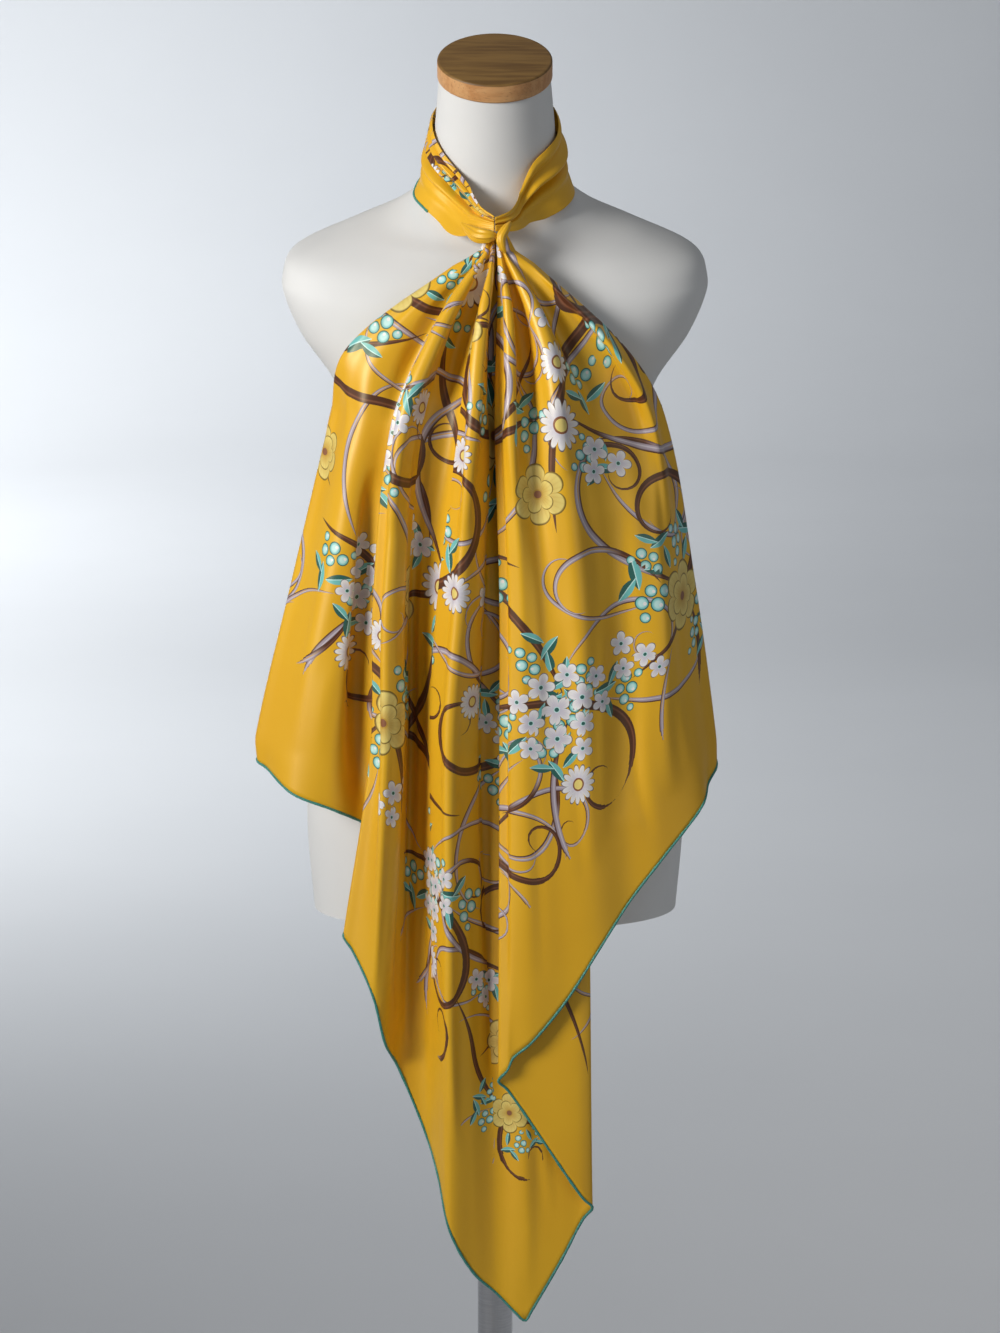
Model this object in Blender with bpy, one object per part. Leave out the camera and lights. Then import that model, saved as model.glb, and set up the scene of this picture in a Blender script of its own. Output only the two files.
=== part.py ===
"""Silk square tied as a halter on a limbless dress form.

Metres, +Z up, the form faces -Y. The origin is the middle of the underside of the
round base. The scarf is one square of silk: a corner is wound round the neck and
knotted at the throat, and the rest falls in front in pleats and Z folds down to the
opposite corner. The tables below are in millimetres, because cloth is measured so.
"""

import math

import bpy
from mathutils import Vector

MM = 0.001

# ---------------------------------------------------------------- driving sizes
SEAT_GAP = 0.0003           # air between pieces that touch
CLOTH_WALL = 0.0013         # wall of the hanging silk
HEM_ROLL = 0.0022           # thickness of the hand-rolled hem
HEM_DEPTH = 0.0045          # how far the roll reaches into the cloth
HEM_APPROACH = 0.0072       # where the wall starts to thicken towards the roll
STRETCH_WALL = 0.0024       # several layers of silk round the neck

FALL_TOP = 1.297            # where the cloth leaves the knot
CHEST = 1.215
BUST = 1.150
WAIST = 1.000
HIP = 0.865
FALL_LEVELS = (FALL_TOP, CHEST, BUST, WAIST, HIP)
FALL_ROWS = 25              # rows of faces from knot to hem, without the roll's two
FALL_ROW_BUNCHING = 1.25    # above 1 the rows lie closer together near the knot
SIDE_LENGTH = 0.455         # lines shorter than this keep level for half of the rows
FALL_COLUMN_PITCH = 0.028   # widest spacing of the columns of faces, low down
PITCH_DEPTH = 0.8           # where on the lines that spacing is taken, knot to hem
NOSE_STEPS = 2              # columns of faces on each side of a fold's nose

NOSE_INSET = 0.008          # how far back from a fold its two layers are set
INSET_SHARE = (0.18, 0.45, 0.8, 1.0, 1.0, 1.0)     # share of it, knot to hem
HEM_LEAN = 0.8              # how much of the hem's slope a fold's layers take
RISE_SHARE = (0.38, 0.60, 0.85, 1.0, 1.0, 1.0)     # share of a fold's rise

FORM_SEGMENTS = 40
FORM_RINGS_PER_ROW = 2
BUST_ROW = 6                # row of FORM_SECTIONS from which the upper form is searched
BUST_SIDE = 0.072           # each bust point from the middle
BUST_HEIGHT = 1.128
BUST_SWELL = 0.0355
BUST_SPREAD = 0.050

CAP_RADIUS = 0.0505
CAP_THICKNESS = 0.018
CAP_EDGE = 0.0022
NECK_TILT = math.radians(22)

BASE_RADIUS = 0.170
BASE_THICKNESS = 0.012
POLE_RADIUS = 0.016
COLLAR_RADIUS = 0.030
COLLAR_HEIGHT = 0.045
PLATE_THICKNESS = 0.008
PLATE_INSET = 0.012         # from the torso's front edge to the plate's rim
BASE_EDGE = 0.003
BORE_OVERRUN = 0.010
ROUND_SEGMENTS = 32

LOOP_CENTRE_Y = 0.005       # axis that the neck loop's angles are taken about
LOOP_RADIUS = 0.056         # about how far the loop's nape lies from that axis
NAPE_GAP = 0.0004           # from the middle of the nape to each stretch's end
LOOP_COLUMNS = 20
LOOP_ROWS = 11

KNOT_CENTRE = (-0.0040, -0.0838, 1.3087)
KNOT_REACH = (0.0170, 0.0085, 0.0125)
KNOT_RIDGES = 3
KNOT_RIDGE_HEIGHT = 0.09
KNOT_SEGMENTS = 24
KNOT_RINGS = 12

# ---------------------------------------------------------------- form sections
# name, height, centre towards the back, tilt in degrees, half width, reach to the
# front, reach to the back (mm), squareness of the section's curve
FORM_SECTIONS = (
    ("lower_edge", 690, 2, 0, 164, 98, 110, 2.3),
    ("hip", 780, 2, 0, 170, 104, 116, 2.3),
    ("high_hip", 860, 0, 0, 159, 98, 106, 2.3),
    ("above_hip", 925, 0, 0, 134, 90, 88, 2.2),
    ("waist", 985, 0, 0, 116, 84, 76, 2.2),
    ("ribs", 1055, 0, 0, 122, 92, 86, 2.2),
    ("bust", 1125, 0, 0, 132, 103, 100, 2.3),
    ("underarm", 1170, 0, 0, 142, 96, 108, 2.4),
    ("armhole", 1213, 3, 1, 171, 90, 108, 2.6),
    ("arm_point", 1247, 6, 4, 186, 86, 106, 2.8),
    ("shoulder_end", 1266, 8, 6, 188, 82, 99, 2.8),
    ("shoulder_top", 1285, 10, 9, 178, 77, 90, 2.6),
    ("shoulder_mid", 1304, 13, 13, 133, 70, 77, 2.4),
    ("neck_slope", 1320, 16, 18, 92, 63, 66, 2.2),
    ("neck_base", 1342, 18, 22, 63, 58, 59, 2.0),
    ("neck_low", 1366, 14, 23, 56, 55, 55, 2.0),
    ("neck_mid", 1400, 3, 22, 52.5, 52.5, 52.5, 2.0),
    ("neck_top", 1440, -13, 22, 49, 49, 49, 2.0),
)

# ---------------------------------------------------------------- fold lines
# name, turn, rise, across and forward at each level from the knot down, and the
# hem's across, forward and height. All in mm. Turn is where the nose of a fold
# points: -1 left, 1 right, 0 for a plain ridge or valley. Rise is how much further
# forward the cloth lies after the nose than before it.
FOLD_LINES = (
    ("left_corner", 0, 0, (-6, -103, -143), (74, 87, 40), (-124, -75, 1005)),
    ("left_return", 0, 0, (-13, -113, -145, -163), (76, 87, 53, 2), (-178, -2, 915)),
    ("left_side", -1, 18, (-20, -131, -144, -180, -212), (81, 92, 75, 72, 78),
     (-211, 80, 842)),
    ("left_crest", 0, 0, (-17, -113, -127, -151, -172), (87, 101, 104, 112, 119),
     (-178, 121, 821)),
    ("left_middle", 0, 0, (-14, -94, -108, -125, -140), (87.5, 108, 118, 121, 124),
     (-144, 124, 808)),
    ("left_valley", 0, 0, (-11, -67, -88, -112, -120), (87.5, 107, 119, 113, 109),
     (-117, 111, 793)),
    ("under_fold", 1, 8, (-7.5, -48, -70, -82, -84), (88.5, 110, 124, 121, 118),
     (-84, 118, 776)),
    ("pleat_edge", -1, 8, (-15.5, -61, -82, -102, -107), (93, 118, 134, 133, 131),
     (-134, 131, 695)),
    ("pleat_crest", 0, 0, (-13.5, -53, -71, -88, -91), (98, 130, 147, 147, 147),
     (-108, 146, 645)),
    ("pleat_back", 0, 0, (-10.5, -46, -61, -76, -77), (97, 123, 140, 139, 139),
     (-97, 138, 597)),
    ("valley_left", 0, 0, (-8.5, -41, -54, -68, -71), (94, 113, 129, 123, 119),
     (-87, 119, 572)),
    ("valley_right", 0, 0, (-6.5, -26, -32, -56, -57), (93.5, 112, 127, 121, 117),
     (-62, 118, 509)),
    ("second_edge", 0, 0, (-5, -19, -24, -35, -49), (96, 117, 133, 134, 134),
     (-51, 134, 476)),
    ("second_crest", 0, 0, (-3, -13, -15, -25, -39), (100, 130, 149, 150, 150),
     (-40, 150, 427)),
    ("second_back", 0, 0, (-0.5, -7.5, -8.5, -13, -25), (97.5, 124, 143, 142, 141),
     (-19, 143, 386)),
    ("deep_valley", 0, 0, (1, -4.5, -5, -5, -8), (91, 114, 129, 126, 124),
     (2, 136, 364)),
    ("tip_left", 0, 0, (2.6, -2.5, -1, 4, 9), (87.5, 109, 122, 120, 119),
     (20, 140, 346)),
    ("tip", 0, 0, (4.2, 0, 2, 11, 17), (85.5, 108, 120, 119, 118),
     (27, 141, 340)),
    ("tip_right", 0, 0, (5.8, 2, 5, 17, 25), (84.5, 107, 119, 118, 118),
     (33, 141, 350)),
    ("back_right", 0, 0, (8, 6, 10, 34, 50), (84.5, 107, 119, 117, 117),
     (60, 139, 398)),
    ("hidden_fold", 1, 8, (12, 16, 24, 56, 78), (87.5, 111, 124, 122, 122),
     (87, 142, 447)),
    ("front_edge", -1, 8, (4.5, 1, 0, 4, 4), (93.5, 118, 133, 133, 131),
     (3, 148, 566)),
    ("thin_groove", 0, 0, (7.5, 7.5, 7, 12, 12), (97.5, 123, 143, 145, 145),
     (16, 151, 588)),
    ("front_crest", 0, 0, (10, 13, 14, 23, 24), (100, 131, 150, 151, 151),
     (31, 152, 601)),
    ("front_valley", 0, 0, (12.5, 22, 28, 44, 48), (95, 115, 132, 143, 146),
     (62, 147, 638)),
    ("third_crest", 0, 0, (15, 46, 56, 74, 79), (99.5, 128, 146, 145, 143),
     (93, 143, 687)),
    ("wide_valley", 0, 0, (17, 66, 89, 105, 110), (95, 113, 122, 129, 130),
     (119, 131, 726)),
    ("right_crest", 0, 0, (19, 98, 129, 139, 140), (97, 113, 104, 121, 124),
     (150, 124, 766)),
    ("right_slope", 0, 0, (20.5, 106, 141, 161, 175), (93, 106, 90, 98, 104),
     (184, 105, 808)),
    ("right_side", 1, -18, (21, 113, 148, 177, 196), (87, 96, 70, 70, 77),
     (197, 79, 838)),
    ("right_return", 0, 0, (15, 101, 147, 160), (80, 87, 56, 2), (170, -4, 915)),
    ("right_corner", 0, 0, (9, 91, 146), (78, 88, 42), (126, -75, 1005)),
)

# ---------------------------------------------------------------- neck loop
# name, degrees round from the front, lower and upper edge heights, lift off the
# form at the lower and the upper edge (mm)
LEFT_STRETCH = (
    ("at_knot", 1, 1303, 1320, 32, 28),
    ("beside_knot", 8, 1302, 1337, 24, 15),
    ("throat", 18, 1304, 1354, 15, 9),
    ("front_neck", 33, 1313, 1367, 8, 5),
    ("turning", 52, 1329, 1379, 4, 3),
    ("side", 80, 1344, 1395, 3, 2.6),
    ("behind_side", 110, 1356, 1411, 3, 2.6),
    ("back", 145, 1368, 1421, 3, 2.6),
    ("nape", 180, 1373, 1424, 3, 2.6),
)
RIGHT_STRETCH = (
    ("at_knot", 1, 1306, 1321, 34.8, 30.5),
    ("beside_knot", 8, 1307, 1328, 25, 17),
    ("throat", 18, 1312, 1343, 14, 8),
    ("front_neck", 33, 1321, 1366, 6, 4),
    ("turning", 52, 1333, 1378, 3, 2.4),
    ("side", 80, 1344, 1391, 2.6, 2.2),
    ("behind_side", 110, 1356, 1410, 3, 2.6),
    ("back", 145, 1368, 1421, 3, 2.6),
    ("nape", 180, 1373, 1424, 3, 2.6),
)
LEFT_PLEATS = 4
RIGHT_PLEATS = 3
LOOP_PLEAT_DEPTH = 0.0022

MATERIALS = {
    # name: (red, green, blue), roughness, metallic
    "golden_silk": ((0.76, 0.35, 0.010), 0.38, 0.0),
    "white_form": ((0.80, 0.80, 0.79), 0.55, 0.0),
    "neck_wood": ((0.36, 0.20, 0.10), 0.45, 0.0),
    "base_paint": ((0.72, 0.72, 0.71), 0.40, 0.0),
    "pole_steel": ((0.62, 0.62, 0.63), 0.28, 1.0),
}


# ---------------------------------------------------------------- curves
def smooth_at(stops, values, place):
    """Value at a place on the smooth curve through values set at ordered stops."""
    last = len(stops) - 1
    slopes = []
    for i in range(last + 1):
        before = max(i - 1, 0)
        after = min(i + 1, last)
        slopes.append((values[after] - values[before]) / (stops[after] - stops[before]))
    rising = stops[last] > stops[0]
    i = 0
    while i < last - 1 and (place > stops[i + 1]) == rising:
        i += 1
    width = stops[i + 1] - stops[i]
    s = (place - stops[i]) / width
    start = values[i] * (1 + 2 * s) * (1 - s) ** 2 + slopes[i] * width * s * (1 - s) ** 2
    end = values[i + 1] * s * s * (3 - 2 * s) + slopes[i + 1] * width * s * s * (s - 1)
    return start + end


def point_between(before, start, end, after, share):
    """Point on the rounded curve from start to end that never loops at a tight turn."""
    knots = [0.0]
    for a, b in ((before, start), (start, end), (end, after)):
        knots.append(knots[-1] + max((b - a).length, 1e-6) ** 0.5)
    t = knots[1] + (knots[2] - knots[1]) * share

    def mix(p, q, low, high):
        return p * ((high - t) / (high - low)) + q * ((t - low) / (high - low))

    a1 = mix(before, start, knots[0], knots[1])
    a2 = mix(start, end, knots[1], knots[2])
    a3 = mix(end, after, knots[2], knots[3])
    b1 = mix(a1, a2, knots[0], knots[2])
    b2 = mix(a2, a3, knots[1], knots[3])
    return mix(b1, b2, knots[1], knots[2])


def blend(low, high, share):
    return low + (high - low) * share


# ---------------------------------------------------------------- mesh helpers
def new_object(name, vertices, faces, material, sharp_degrees=40):
    mesh = bpy.data.meshes.new(name)
    mesh.from_pydata([tuple(v) for v in vertices], [], faces)
    mesh.validate()
    mesh.materials.append(material)
    mesh.shade_smooth()
    mesh.set_sharp_from_angle(angle=math.radians(sharp_degrees))
    piece = bpy.data.objects.new(name, mesh)
    bpy.context.scene.collection.objects.link(piece)
    return piece


def make_materials():
    made = {}
    for name, (colour, roughness, metallic) in MATERIALS.items():
        material = bpy.data.materials.new(name)
        material.use_nodes = True
        shader = material.node_tree.nodes["Principled BSDF"]
        shader.inputs["Base Color"].default_value = (*colour, 1.0)
        shader.inputs["Roughness"].default_value = roughness
        shader.inputs["Metallic"].default_value = metallic
        material.diffuse_color = (*colour, 1.0)
        made[name] = material
    return made


def sheet_normals(grid):
    """Unit normal at each point of a grid of points, from the triangles round it."""
    rows = len(grid)
    columns = len(grid[0])
    sums = [[Vector() for _ in range(columns)] for _ in range(rows)]
    for r in range(rows - 1):
        for c in range(columns - 1):
            quad = ((r, c), (r + 1, c), (r + 1, c + 1), (r, c + 1))
            for corners in ((0, 1, 2), (0, 2, 3)):
                places = [quad[k] for k in corners]
                p, q, s = [grid[i][k] for i, k in places]
                facing = (q - p).cross(s - p).normalized()
                for i, k in places:
                    sums[i][k] += facing
    return [[total.normalized() for total in line] for line in sums]


def thick_sheet(name, grid, thickness, material):
    """Closed wall about a grid of points, with a thickness for each of them."""
    rows = len(grid)
    columns = len(grid[0])
    normals = sheet_normals(grid)
    vertices = []
    for side in (0.5, -0.5):
        for r in range(rows):
            for c in range(columns):
                vertices.append(grid[r][c] + normals[r][c] * thickness[r][c] * side)
    back = rows * columns

    def at(r, c):
        return r * columns + c

    faces = []
    for r in range(rows - 1):
        for c in range(columns - 1):
            quad = (at(r, c), at(r + 1, c), at(r + 1, c + 1), at(r, c + 1))
            faces.append(quad)
            faces.append(tuple(back + quad[k] for k in (0, 3, 2, 1)))
    rim = [at(0, c) for c in range(columns)]
    rim += [at(r, columns - 1) for r in range(1, rows)]
    rim += [at(rows - 1, c) for c in range(columns - 2, -1, -1)]
    rim += [at(r, 0) for r in range(rows - 2, 0, -1)]
    for i, v in enumerate(rim):
        w = rim[(i + 1) % len(rim)]
        faces.append((v, w, back + w, back + v))
    return new_object(name, vertices, faces, material, 60)


def turned_solid(name, profile, material, tilt=0.0, centre=(0.0, 0.0, 0.0), sharp=35):
    """Solid turned about a leaning axis from (radius, height) pairs, bottom to top."""
    vertices = []
    for radius, height in profile:
        for k in range(ROUND_SEGMENTS):
            angle = 2 * math.pi * k / ROUND_SEGMENTS
            y = radius * math.sin(angle)
            vertices.append(Vector((
                centre[0] + radius * math.cos(angle),
                centre[1] + y * math.cos(tilt) - height * math.sin(tilt),
                centre[2] + y * math.sin(tilt) + height * math.cos(tilt),
            )))
    rings = len(profile)
    faces = [tuple(range(ROUND_SEGMENTS - 1, -1, -1))]
    for r in range(rings - 1):
        for k in range(ROUND_SEGMENTS):
            n = (k + 1) % ROUND_SEGMENTS
            low = r * ROUND_SEGMENTS
            high = low + ROUND_SEGMENTS
            faces.append((low + k, low + n, high + n, high + k))
    top = (rings - 1) * ROUND_SEGMENTS
    faces.append(tuple(range(top, top + ROUND_SEGMENTS)))
    return new_object(name, vertices, faces, material, sharp)


# ---------------------------------------------------------------- dress form
def form_section(level):
    """Section values at a level that counts rows of FORM_SECTIONS from the bottom."""
    last = len(FORM_SECTIONS) - 1
    i = min(int(level), last - 1)
    share = level - i
    rows = [FORM_SECTIONS[min(max(i + k, 0), last)][1:] for k in (-1, 0, 1, 2)]
    section = []
    for p0, p1, p2, p3 in zip(*rows):
        line = 2 * p1 + (p2 - p0) * share
        curve = (2 * p0 - 5 * p1 + 4 * p2 - p3) * share ** 2
        bend = (3 * p1 - p0 - 3 * p2 + p3) * share ** 3
        section.append(0.5 * (line + curve + bend))
    return section


def form_point(level, angle):
    """Point of the form's surface; the angle turns from the front to the left."""
    height, back, tilt, half, front_reach, back_reach, square = form_section(level)
    side = math.sin(angle)
    fore = math.cos(angle)
    power = 2 / square
    x = -half * math.copysign(abs(side) ** power, side) * MM
    reach = front_reach if fore > 0 else back_reach
    out = reach * math.copysign(abs(fore) ** power, fore) * MM
    lean = math.radians(tilt)
    y = back * MM - out * math.cos(lean)
    z = height * MM - out * math.sin(lean)
    if fore > 0:
        for side_x in (-BUST_SIDE, BUST_SIDE):
            far = ((x - side_x) / BUST_SPREAD) ** 2 + ((z - BUST_HEIGHT) / BUST_SPREAD) ** 2
            y -= BUST_SWELL * fore * math.exp(-far)
    return Vector((x, y, z))


def form_surface(angle, height):
    """Point of the upper form at an angle and a height, found by halving."""
    low = float(BUST_ROW)
    high = len(FORM_SECTIONS) - 1.0
    for _ in range(40):
        middle = (low + high) / 2
        if form_point(middle, angle).z < height:
            low = middle
        else:
            high = middle
    return form_point(low, angle)


def make_torso(material):
    rings = (len(FORM_SECTIONS) - 1) * FORM_RINGS_PER_ROW + 1
    vertices = []
    for r in range(rings):
        for k in range(FORM_SEGMENTS):
            angle = 2 * math.pi * k / FORM_SEGMENTS
            vertices.append(form_point(r / FORM_RINGS_PER_ROW, angle))
    faces = [tuple(range(FORM_SEGMENTS))]
    for r in range(rings - 1):
        for k in range(FORM_SEGMENTS):
            n = (k + 1) % FORM_SEGMENTS
            low = r * FORM_SEGMENTS
            high = low + FORM_SEGMENTS
            faces.append((low + n, low + k, high + k, high + n))
    top = (rings - 1) * FORM_SEGMENTS
    faces.append(tuple(range(top + FORM_SEGMENTS - 1, top - 1, -1)))
    return new_object("form_torso", vertices, faces, material)


def make_cap(material):
    neck = FORM_SECTIONS[-1]
    start = SEAT_GAP
    profile = (
        (CAP_RADIUS - CAP_EDGE, start),
        (CAP_RADIUS, start + CAP_EDGE),
        (CAP_RADIUS, start + CAP_THICKNESS - CAP_EDGE),
        (CAP_RADIUS - CAP_EDGE, start + CAP_THICKNESS),
    )
    centre = (0.0, neck[2] * MM, neck[1] * MM)
    return turned_solid("form_neck_cap", profile, material, NECK_TILT, centre)


def make_stand(paint, steel):
    underside = FORM_SECTIONS[0][1] * MM
    plate_top = underside - SEAT_GAP
    plate_bottom = plate_top - PLATE_THICKNESS
    plate_radius = FORM_SECTIONS[0][5] * MM - PLATE_INSET
    turned_solid(
        "form_bottom_plate",
        ((plate_radius, plate_bottom), (plate_radius, plate_top)),
        paint,
    )
    pole_top = plate_bottom - SEAT_GAP
    collar_bottom = pole_top - COLLAR_HEIGHT
    bore = POLE_RADIUS + SEAT_GAP
    collar = turned_solid(
        "form_collar",
        ((COLLAR_RADIUS, collar_bottom), (COLLAR_RADIUS, pole_top)),
        steel,
    )
    cutter = turned_solid(
        "collar_bore",
        ((bore, collar_bottom - BORE_OVERRUN), (bore, pole_top - SEAT_GAP)),
        steel,
    )
    cutter.hide_render = True
    cutter.display_type = "WIRE"
    cut = collar.modifiers.new("bore", "BOOLEAN")
    cut.operation = "DIFFERENCE"
    cut.object = cutter
    pole_bottom = BASE_THICKNESS + SEAT_GAP
    turned_solid(
        "form_pole",
        ((POLE_RADIUS, pole_bottom), (POLE_RADIUS, pole_top - 2 * SEAT_GAP)),
        steel,
    )
    turned_solid(
        "form_base",
        (
            (BASE_RADIUS, 0.0),
            (BASE_RADIUS, BASE_THICKNESS - BASE_EDGE),
            (BASE_RADIUS - BASE_EDGE, BASE_THICKNESS),
        ),
        paint,
    )


# ---------------------------------------------------------------- hanging silk
def control_columns():
    """Fold lines as columns; a fold's nose becomes three columns round its turn."""
    hems = [row[-1][2] * MM for row in FOLD_LINES]
    columns = []
    for k, (_, turn, rise, across, forward, hem) in enumerate(FOLD_LINES):
        levels = list(FALL_LEVELS[:len(across)])
        xs = [v * MM for v in across + hem[:1]]
        ys = [-v * MM for v in forward + hem[1:2]]
        if turn == 0:
            columns.append((levels + [hems[k]], xs, ys, False))
            continue
        insets = [NOSE_INSET * share for share in INSET_SHARE[:len(levels)]] + [NOSE_INSET]
        rises = [rise * MM * share for share in RISE_SHARE[:len(levels)]] + [rise * MM]
        for step, beside in ((-0.5, k - 1), (0.0, k), (0.5, k + 1)):
            side_xs = [x - turn * inset * abs(2 * step) for x, inset in zip(xs, insets)]
            side_ys = [y - step * lift for y, lift in zip(ys, rises)]
            span = max(abs(FOLD_LINES[beside][-1][0] - hem[0]) * MM, NOSE_INSET)
            side_hem = blend(hems[k], hems[beside], HEM_LEAN * NOSE_INSET / span)
            columns.append((levels + [side_hem], side_xs, side_ys, step == 0.0))
    return columns


def column_point(column, drop):
    """Point of a fold line at a drop below the knot."""
    stops, xs, ys, _ = column
    z = stops[0] - drop
    return Vector((smooth_at(stops, xs, z), smooth_at(stops, ys, z), z))


def column_rows(column):
    """Points down a fold line, the last three spaced for the rolled hem."""
    length = column[0][0] - column[0][-1]
    plain = length - HEM_APPROACH
    half = FALL_ROWS // 2
    drops = []
    for r in range(FALL_ROWS + 1):
        drops.append(max(plain, SIDE_LENGTH) * (r / FALL_ROWS) ** FALL_ROW_BUNCHING)
        if plain < SIDE_LENGTH and r > half:
            drops[r] = blend(drops[half], plain, (r - half) / (FALL_ROWS - half))
    drops += [length - HEM_DEPTH, length]
    return [column_point(column, drop) for drop in drops]


def column_places(columns):
    """Where the columns of faces lie: pairs of a control column and a share."""
    places = []
    for c in range(len(columns) - 1):
        ends = []
        for stops, xs, ys, nose in columns[c:c + 2]:
            drop = (stops[0] - stops[-1]) * PITCH_DEPTH
            ends.append(column_point((stops, xs, ys, nose), drop))
        steps = max(1, math.ceil((ends[1] - ends[0]).length / FALL_COLUMN_PITCH))
        if columns[c][3] or columns[c + 1][3]:
            steps = NOSE_STEPS
        places += [(c, k / steps) for k in range(steps)]
    places.append((len(columns) - 2, 1.0))
    return places


def make_fall(material):
    columns = control_columns()
    places = column_places(columns)
    grid = []
    thickness = []
    rows = zip(*[column_rows(column) for column in columns])
    for r, row in enumerate(rows):
        row = [row[0] * 2 - row[1], *row, row[-1] * 2 - row[-2]]
        grid.append([point_between(*row[c:c + 4], share) for c, share in places])
        rolled = r > FALL_ROWS
        walls = [HEM_ROLL if rolled else CLOTH_WALL] * len(places)
        walls[0] = HEM_ROLL
        walls[-1] = HEM_ROLL
        thickness.append(walls)
    return thick_sheet("front_fall", grid, thickness, material)


# ---------------------------------------------------------------- neck loop
def make_stretch(name, sections, side, pleats, material):
    """One half of the neck loop; side is 1 for the left and -1 for the right."""
    stops = [row[1] for row in sections]
    count = len(stops)
    end_gap = math.degrees(NAPE_GAP / LOOP_RADIUS)
    grid = []
    thickness = []
    for r in range(LOOP_ROWS + 1):
        v = r / LOOP_ROWS
        line = []
        for c in range(LOOP_COLUMNS + 1):
            way = c / LOOP_COLUMNS * (count - 1)
            i = min(int(way), count - 2)
            degrees = min(blend(stops[i], stops[i + 1], way - i), 180 - end_gap)
            lower, upper, low_lift, high_lift = [
                smooth_at(stops, [row[k] for row in sections], degrees)
                for k in (2, 3, 4, 5)
            ]
            height = blend(lower, upper, v) * MM
            wave = LOOP_PLEAT_DEPTH * (1 - math.cos(2 * math.pi * pleats * v)) / 2
            lift = blend(low_lift, high_lift, v) * MM + wave * min(1.0, (upper - lower) / 50)
            angle = math.radians(degrees) * side
            skin = form_surface(angle, height)
            out = Vector((skin.x, skin.y - LOOP_CENTRE_Y, 0.0)).normalized()
            line.append(skin + out * lift)
        grid.append(line)
        thickness.append([STRETCH_WALL] * len(line))
    if side < 0:
        grid = [list(reversed(line)) for line in grid]
    return thick_sheet(name, grid, thickness, material)


def make_knot(material):
    """A small rounded lump whose surface is crossed by slanting folds."""
    vertices = []
    for r in range(1, KNOT_RINGS):
        tilt = math.pi * r / KNOT_RINGS
        for k in range(KNOT_SEGMENTS):
            angle = 2 * math.pi * k / KNOT_SEGMENTS
            fold = math.cos(KNOT_RIDGES * (angle + 0.8 * math.cos(tilt)) * 2)
            swell = 1 + KNOT_RIDGE_HEIGHT * fold * math.sin(tilt) ** 2
            way = Vector((
                -math.cos(tilt),
                math.sin(tilt) * math.sin(angle),
                math.sin(tilt) * math.cos(angle),
            ))
            vertices.append(Vector(
                KNOT_CENTRE[i] + KNOT_REACH[i] * way[i] * swell for i in range(3)
            ))
    first = len(vertices)
    vertices.append(Vector(KNOT_CENTRE) - Vector((KNOT_REACH[0], 0, 0)))
    vertices.append(Vector(KNOT_CENTRE) + Vector((KNOT_REACH[0], 0, 0)))
    faces = []
    for k in range(KNOT_SEGMENTS):
        n = (k + 1) % KNOT_SEGMENTS
        faces.append((first, k, n))
        last = (KNOT_RINGS - 2) * KNOT_SEGMENTS
        faces.append((first + 1, last + n, last + k))
        for r in range(KNOT_RINGS - 2):
            low = r * KNOT_SEGMENTS
            high = low + KNOT_SEGMENTS
            faces.append((low + n, low + k, high + k, high + n))
    return new_object("knot", vertices, faces, material, 60)


def main():
    for thing in list(bpy.data.objects):
        bpy.data.objects.remove(thing)
    finish = make_materials()
    make_torso(finish["white_form"])
    make_cap(finish["neck_wood"])
    make_stand(finish["base_paint"], finish["pole_steel"])
    make_fall(finish["golden_silk"])
    make_stretch("neck_stretch_left", LEFT_STRETCH, 1, LEFT_PLEATS, finish["golden_silk"])
    make_stretch("neck_stretch_right", RIGHT_STRETCH, -1, RIGHT_PLEATS, finish["golden_silk"])
    make_knot(finish["golden_silk"])


main()
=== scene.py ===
# %% [markdown]
# # A silk square tied as a halter on a dress form
#
# A large silk square hangs from a small knot at the throat of a limbless dress form.
# One corner is wound round the neck, and the rest falls in front in pleats and Z folds.
# This lesson dresses the plain solids of the part: the cloth is made again as a thin
# sheet with finer folds, it gets a printed pattern and a rolled hem, and the form gets
# its matt white shell and its wooden neck cap.

# %% Load the frame
import math

import bpy
import numpy as np
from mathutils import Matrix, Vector
from mathutils.kdtree import KDTree


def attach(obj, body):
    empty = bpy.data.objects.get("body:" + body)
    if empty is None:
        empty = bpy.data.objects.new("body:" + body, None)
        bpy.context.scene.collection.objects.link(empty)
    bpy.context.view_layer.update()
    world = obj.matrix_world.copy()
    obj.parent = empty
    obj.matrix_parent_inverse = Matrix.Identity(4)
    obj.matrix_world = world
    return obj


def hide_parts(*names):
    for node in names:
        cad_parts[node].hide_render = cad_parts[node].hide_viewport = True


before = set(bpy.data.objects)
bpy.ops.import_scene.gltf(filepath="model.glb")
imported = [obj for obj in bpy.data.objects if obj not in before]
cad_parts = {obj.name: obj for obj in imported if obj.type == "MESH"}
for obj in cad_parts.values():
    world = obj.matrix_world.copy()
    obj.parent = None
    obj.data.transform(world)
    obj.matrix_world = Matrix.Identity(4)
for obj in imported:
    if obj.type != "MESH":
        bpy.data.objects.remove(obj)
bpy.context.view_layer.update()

MM = 0.001
print("nodes:", ", ".join(sorted(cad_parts)))


# %% [markdown]
# The cloth hangs in long folds that fan out from the knot. Each fold line is one row of
# a table, so a fold is moved by changing one number. It could be simulated, but a
# simulation never lands on the folds that are wanted, so they are listed in the table.
# The solid came from a table like this one, which has since been refined a little.

# %% Fold lines
# heights of the knot, the chest, the bust, the waist and the hip
LEVELS = (1.297, 1.215, 1.150, 1.000, 0.865)
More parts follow.
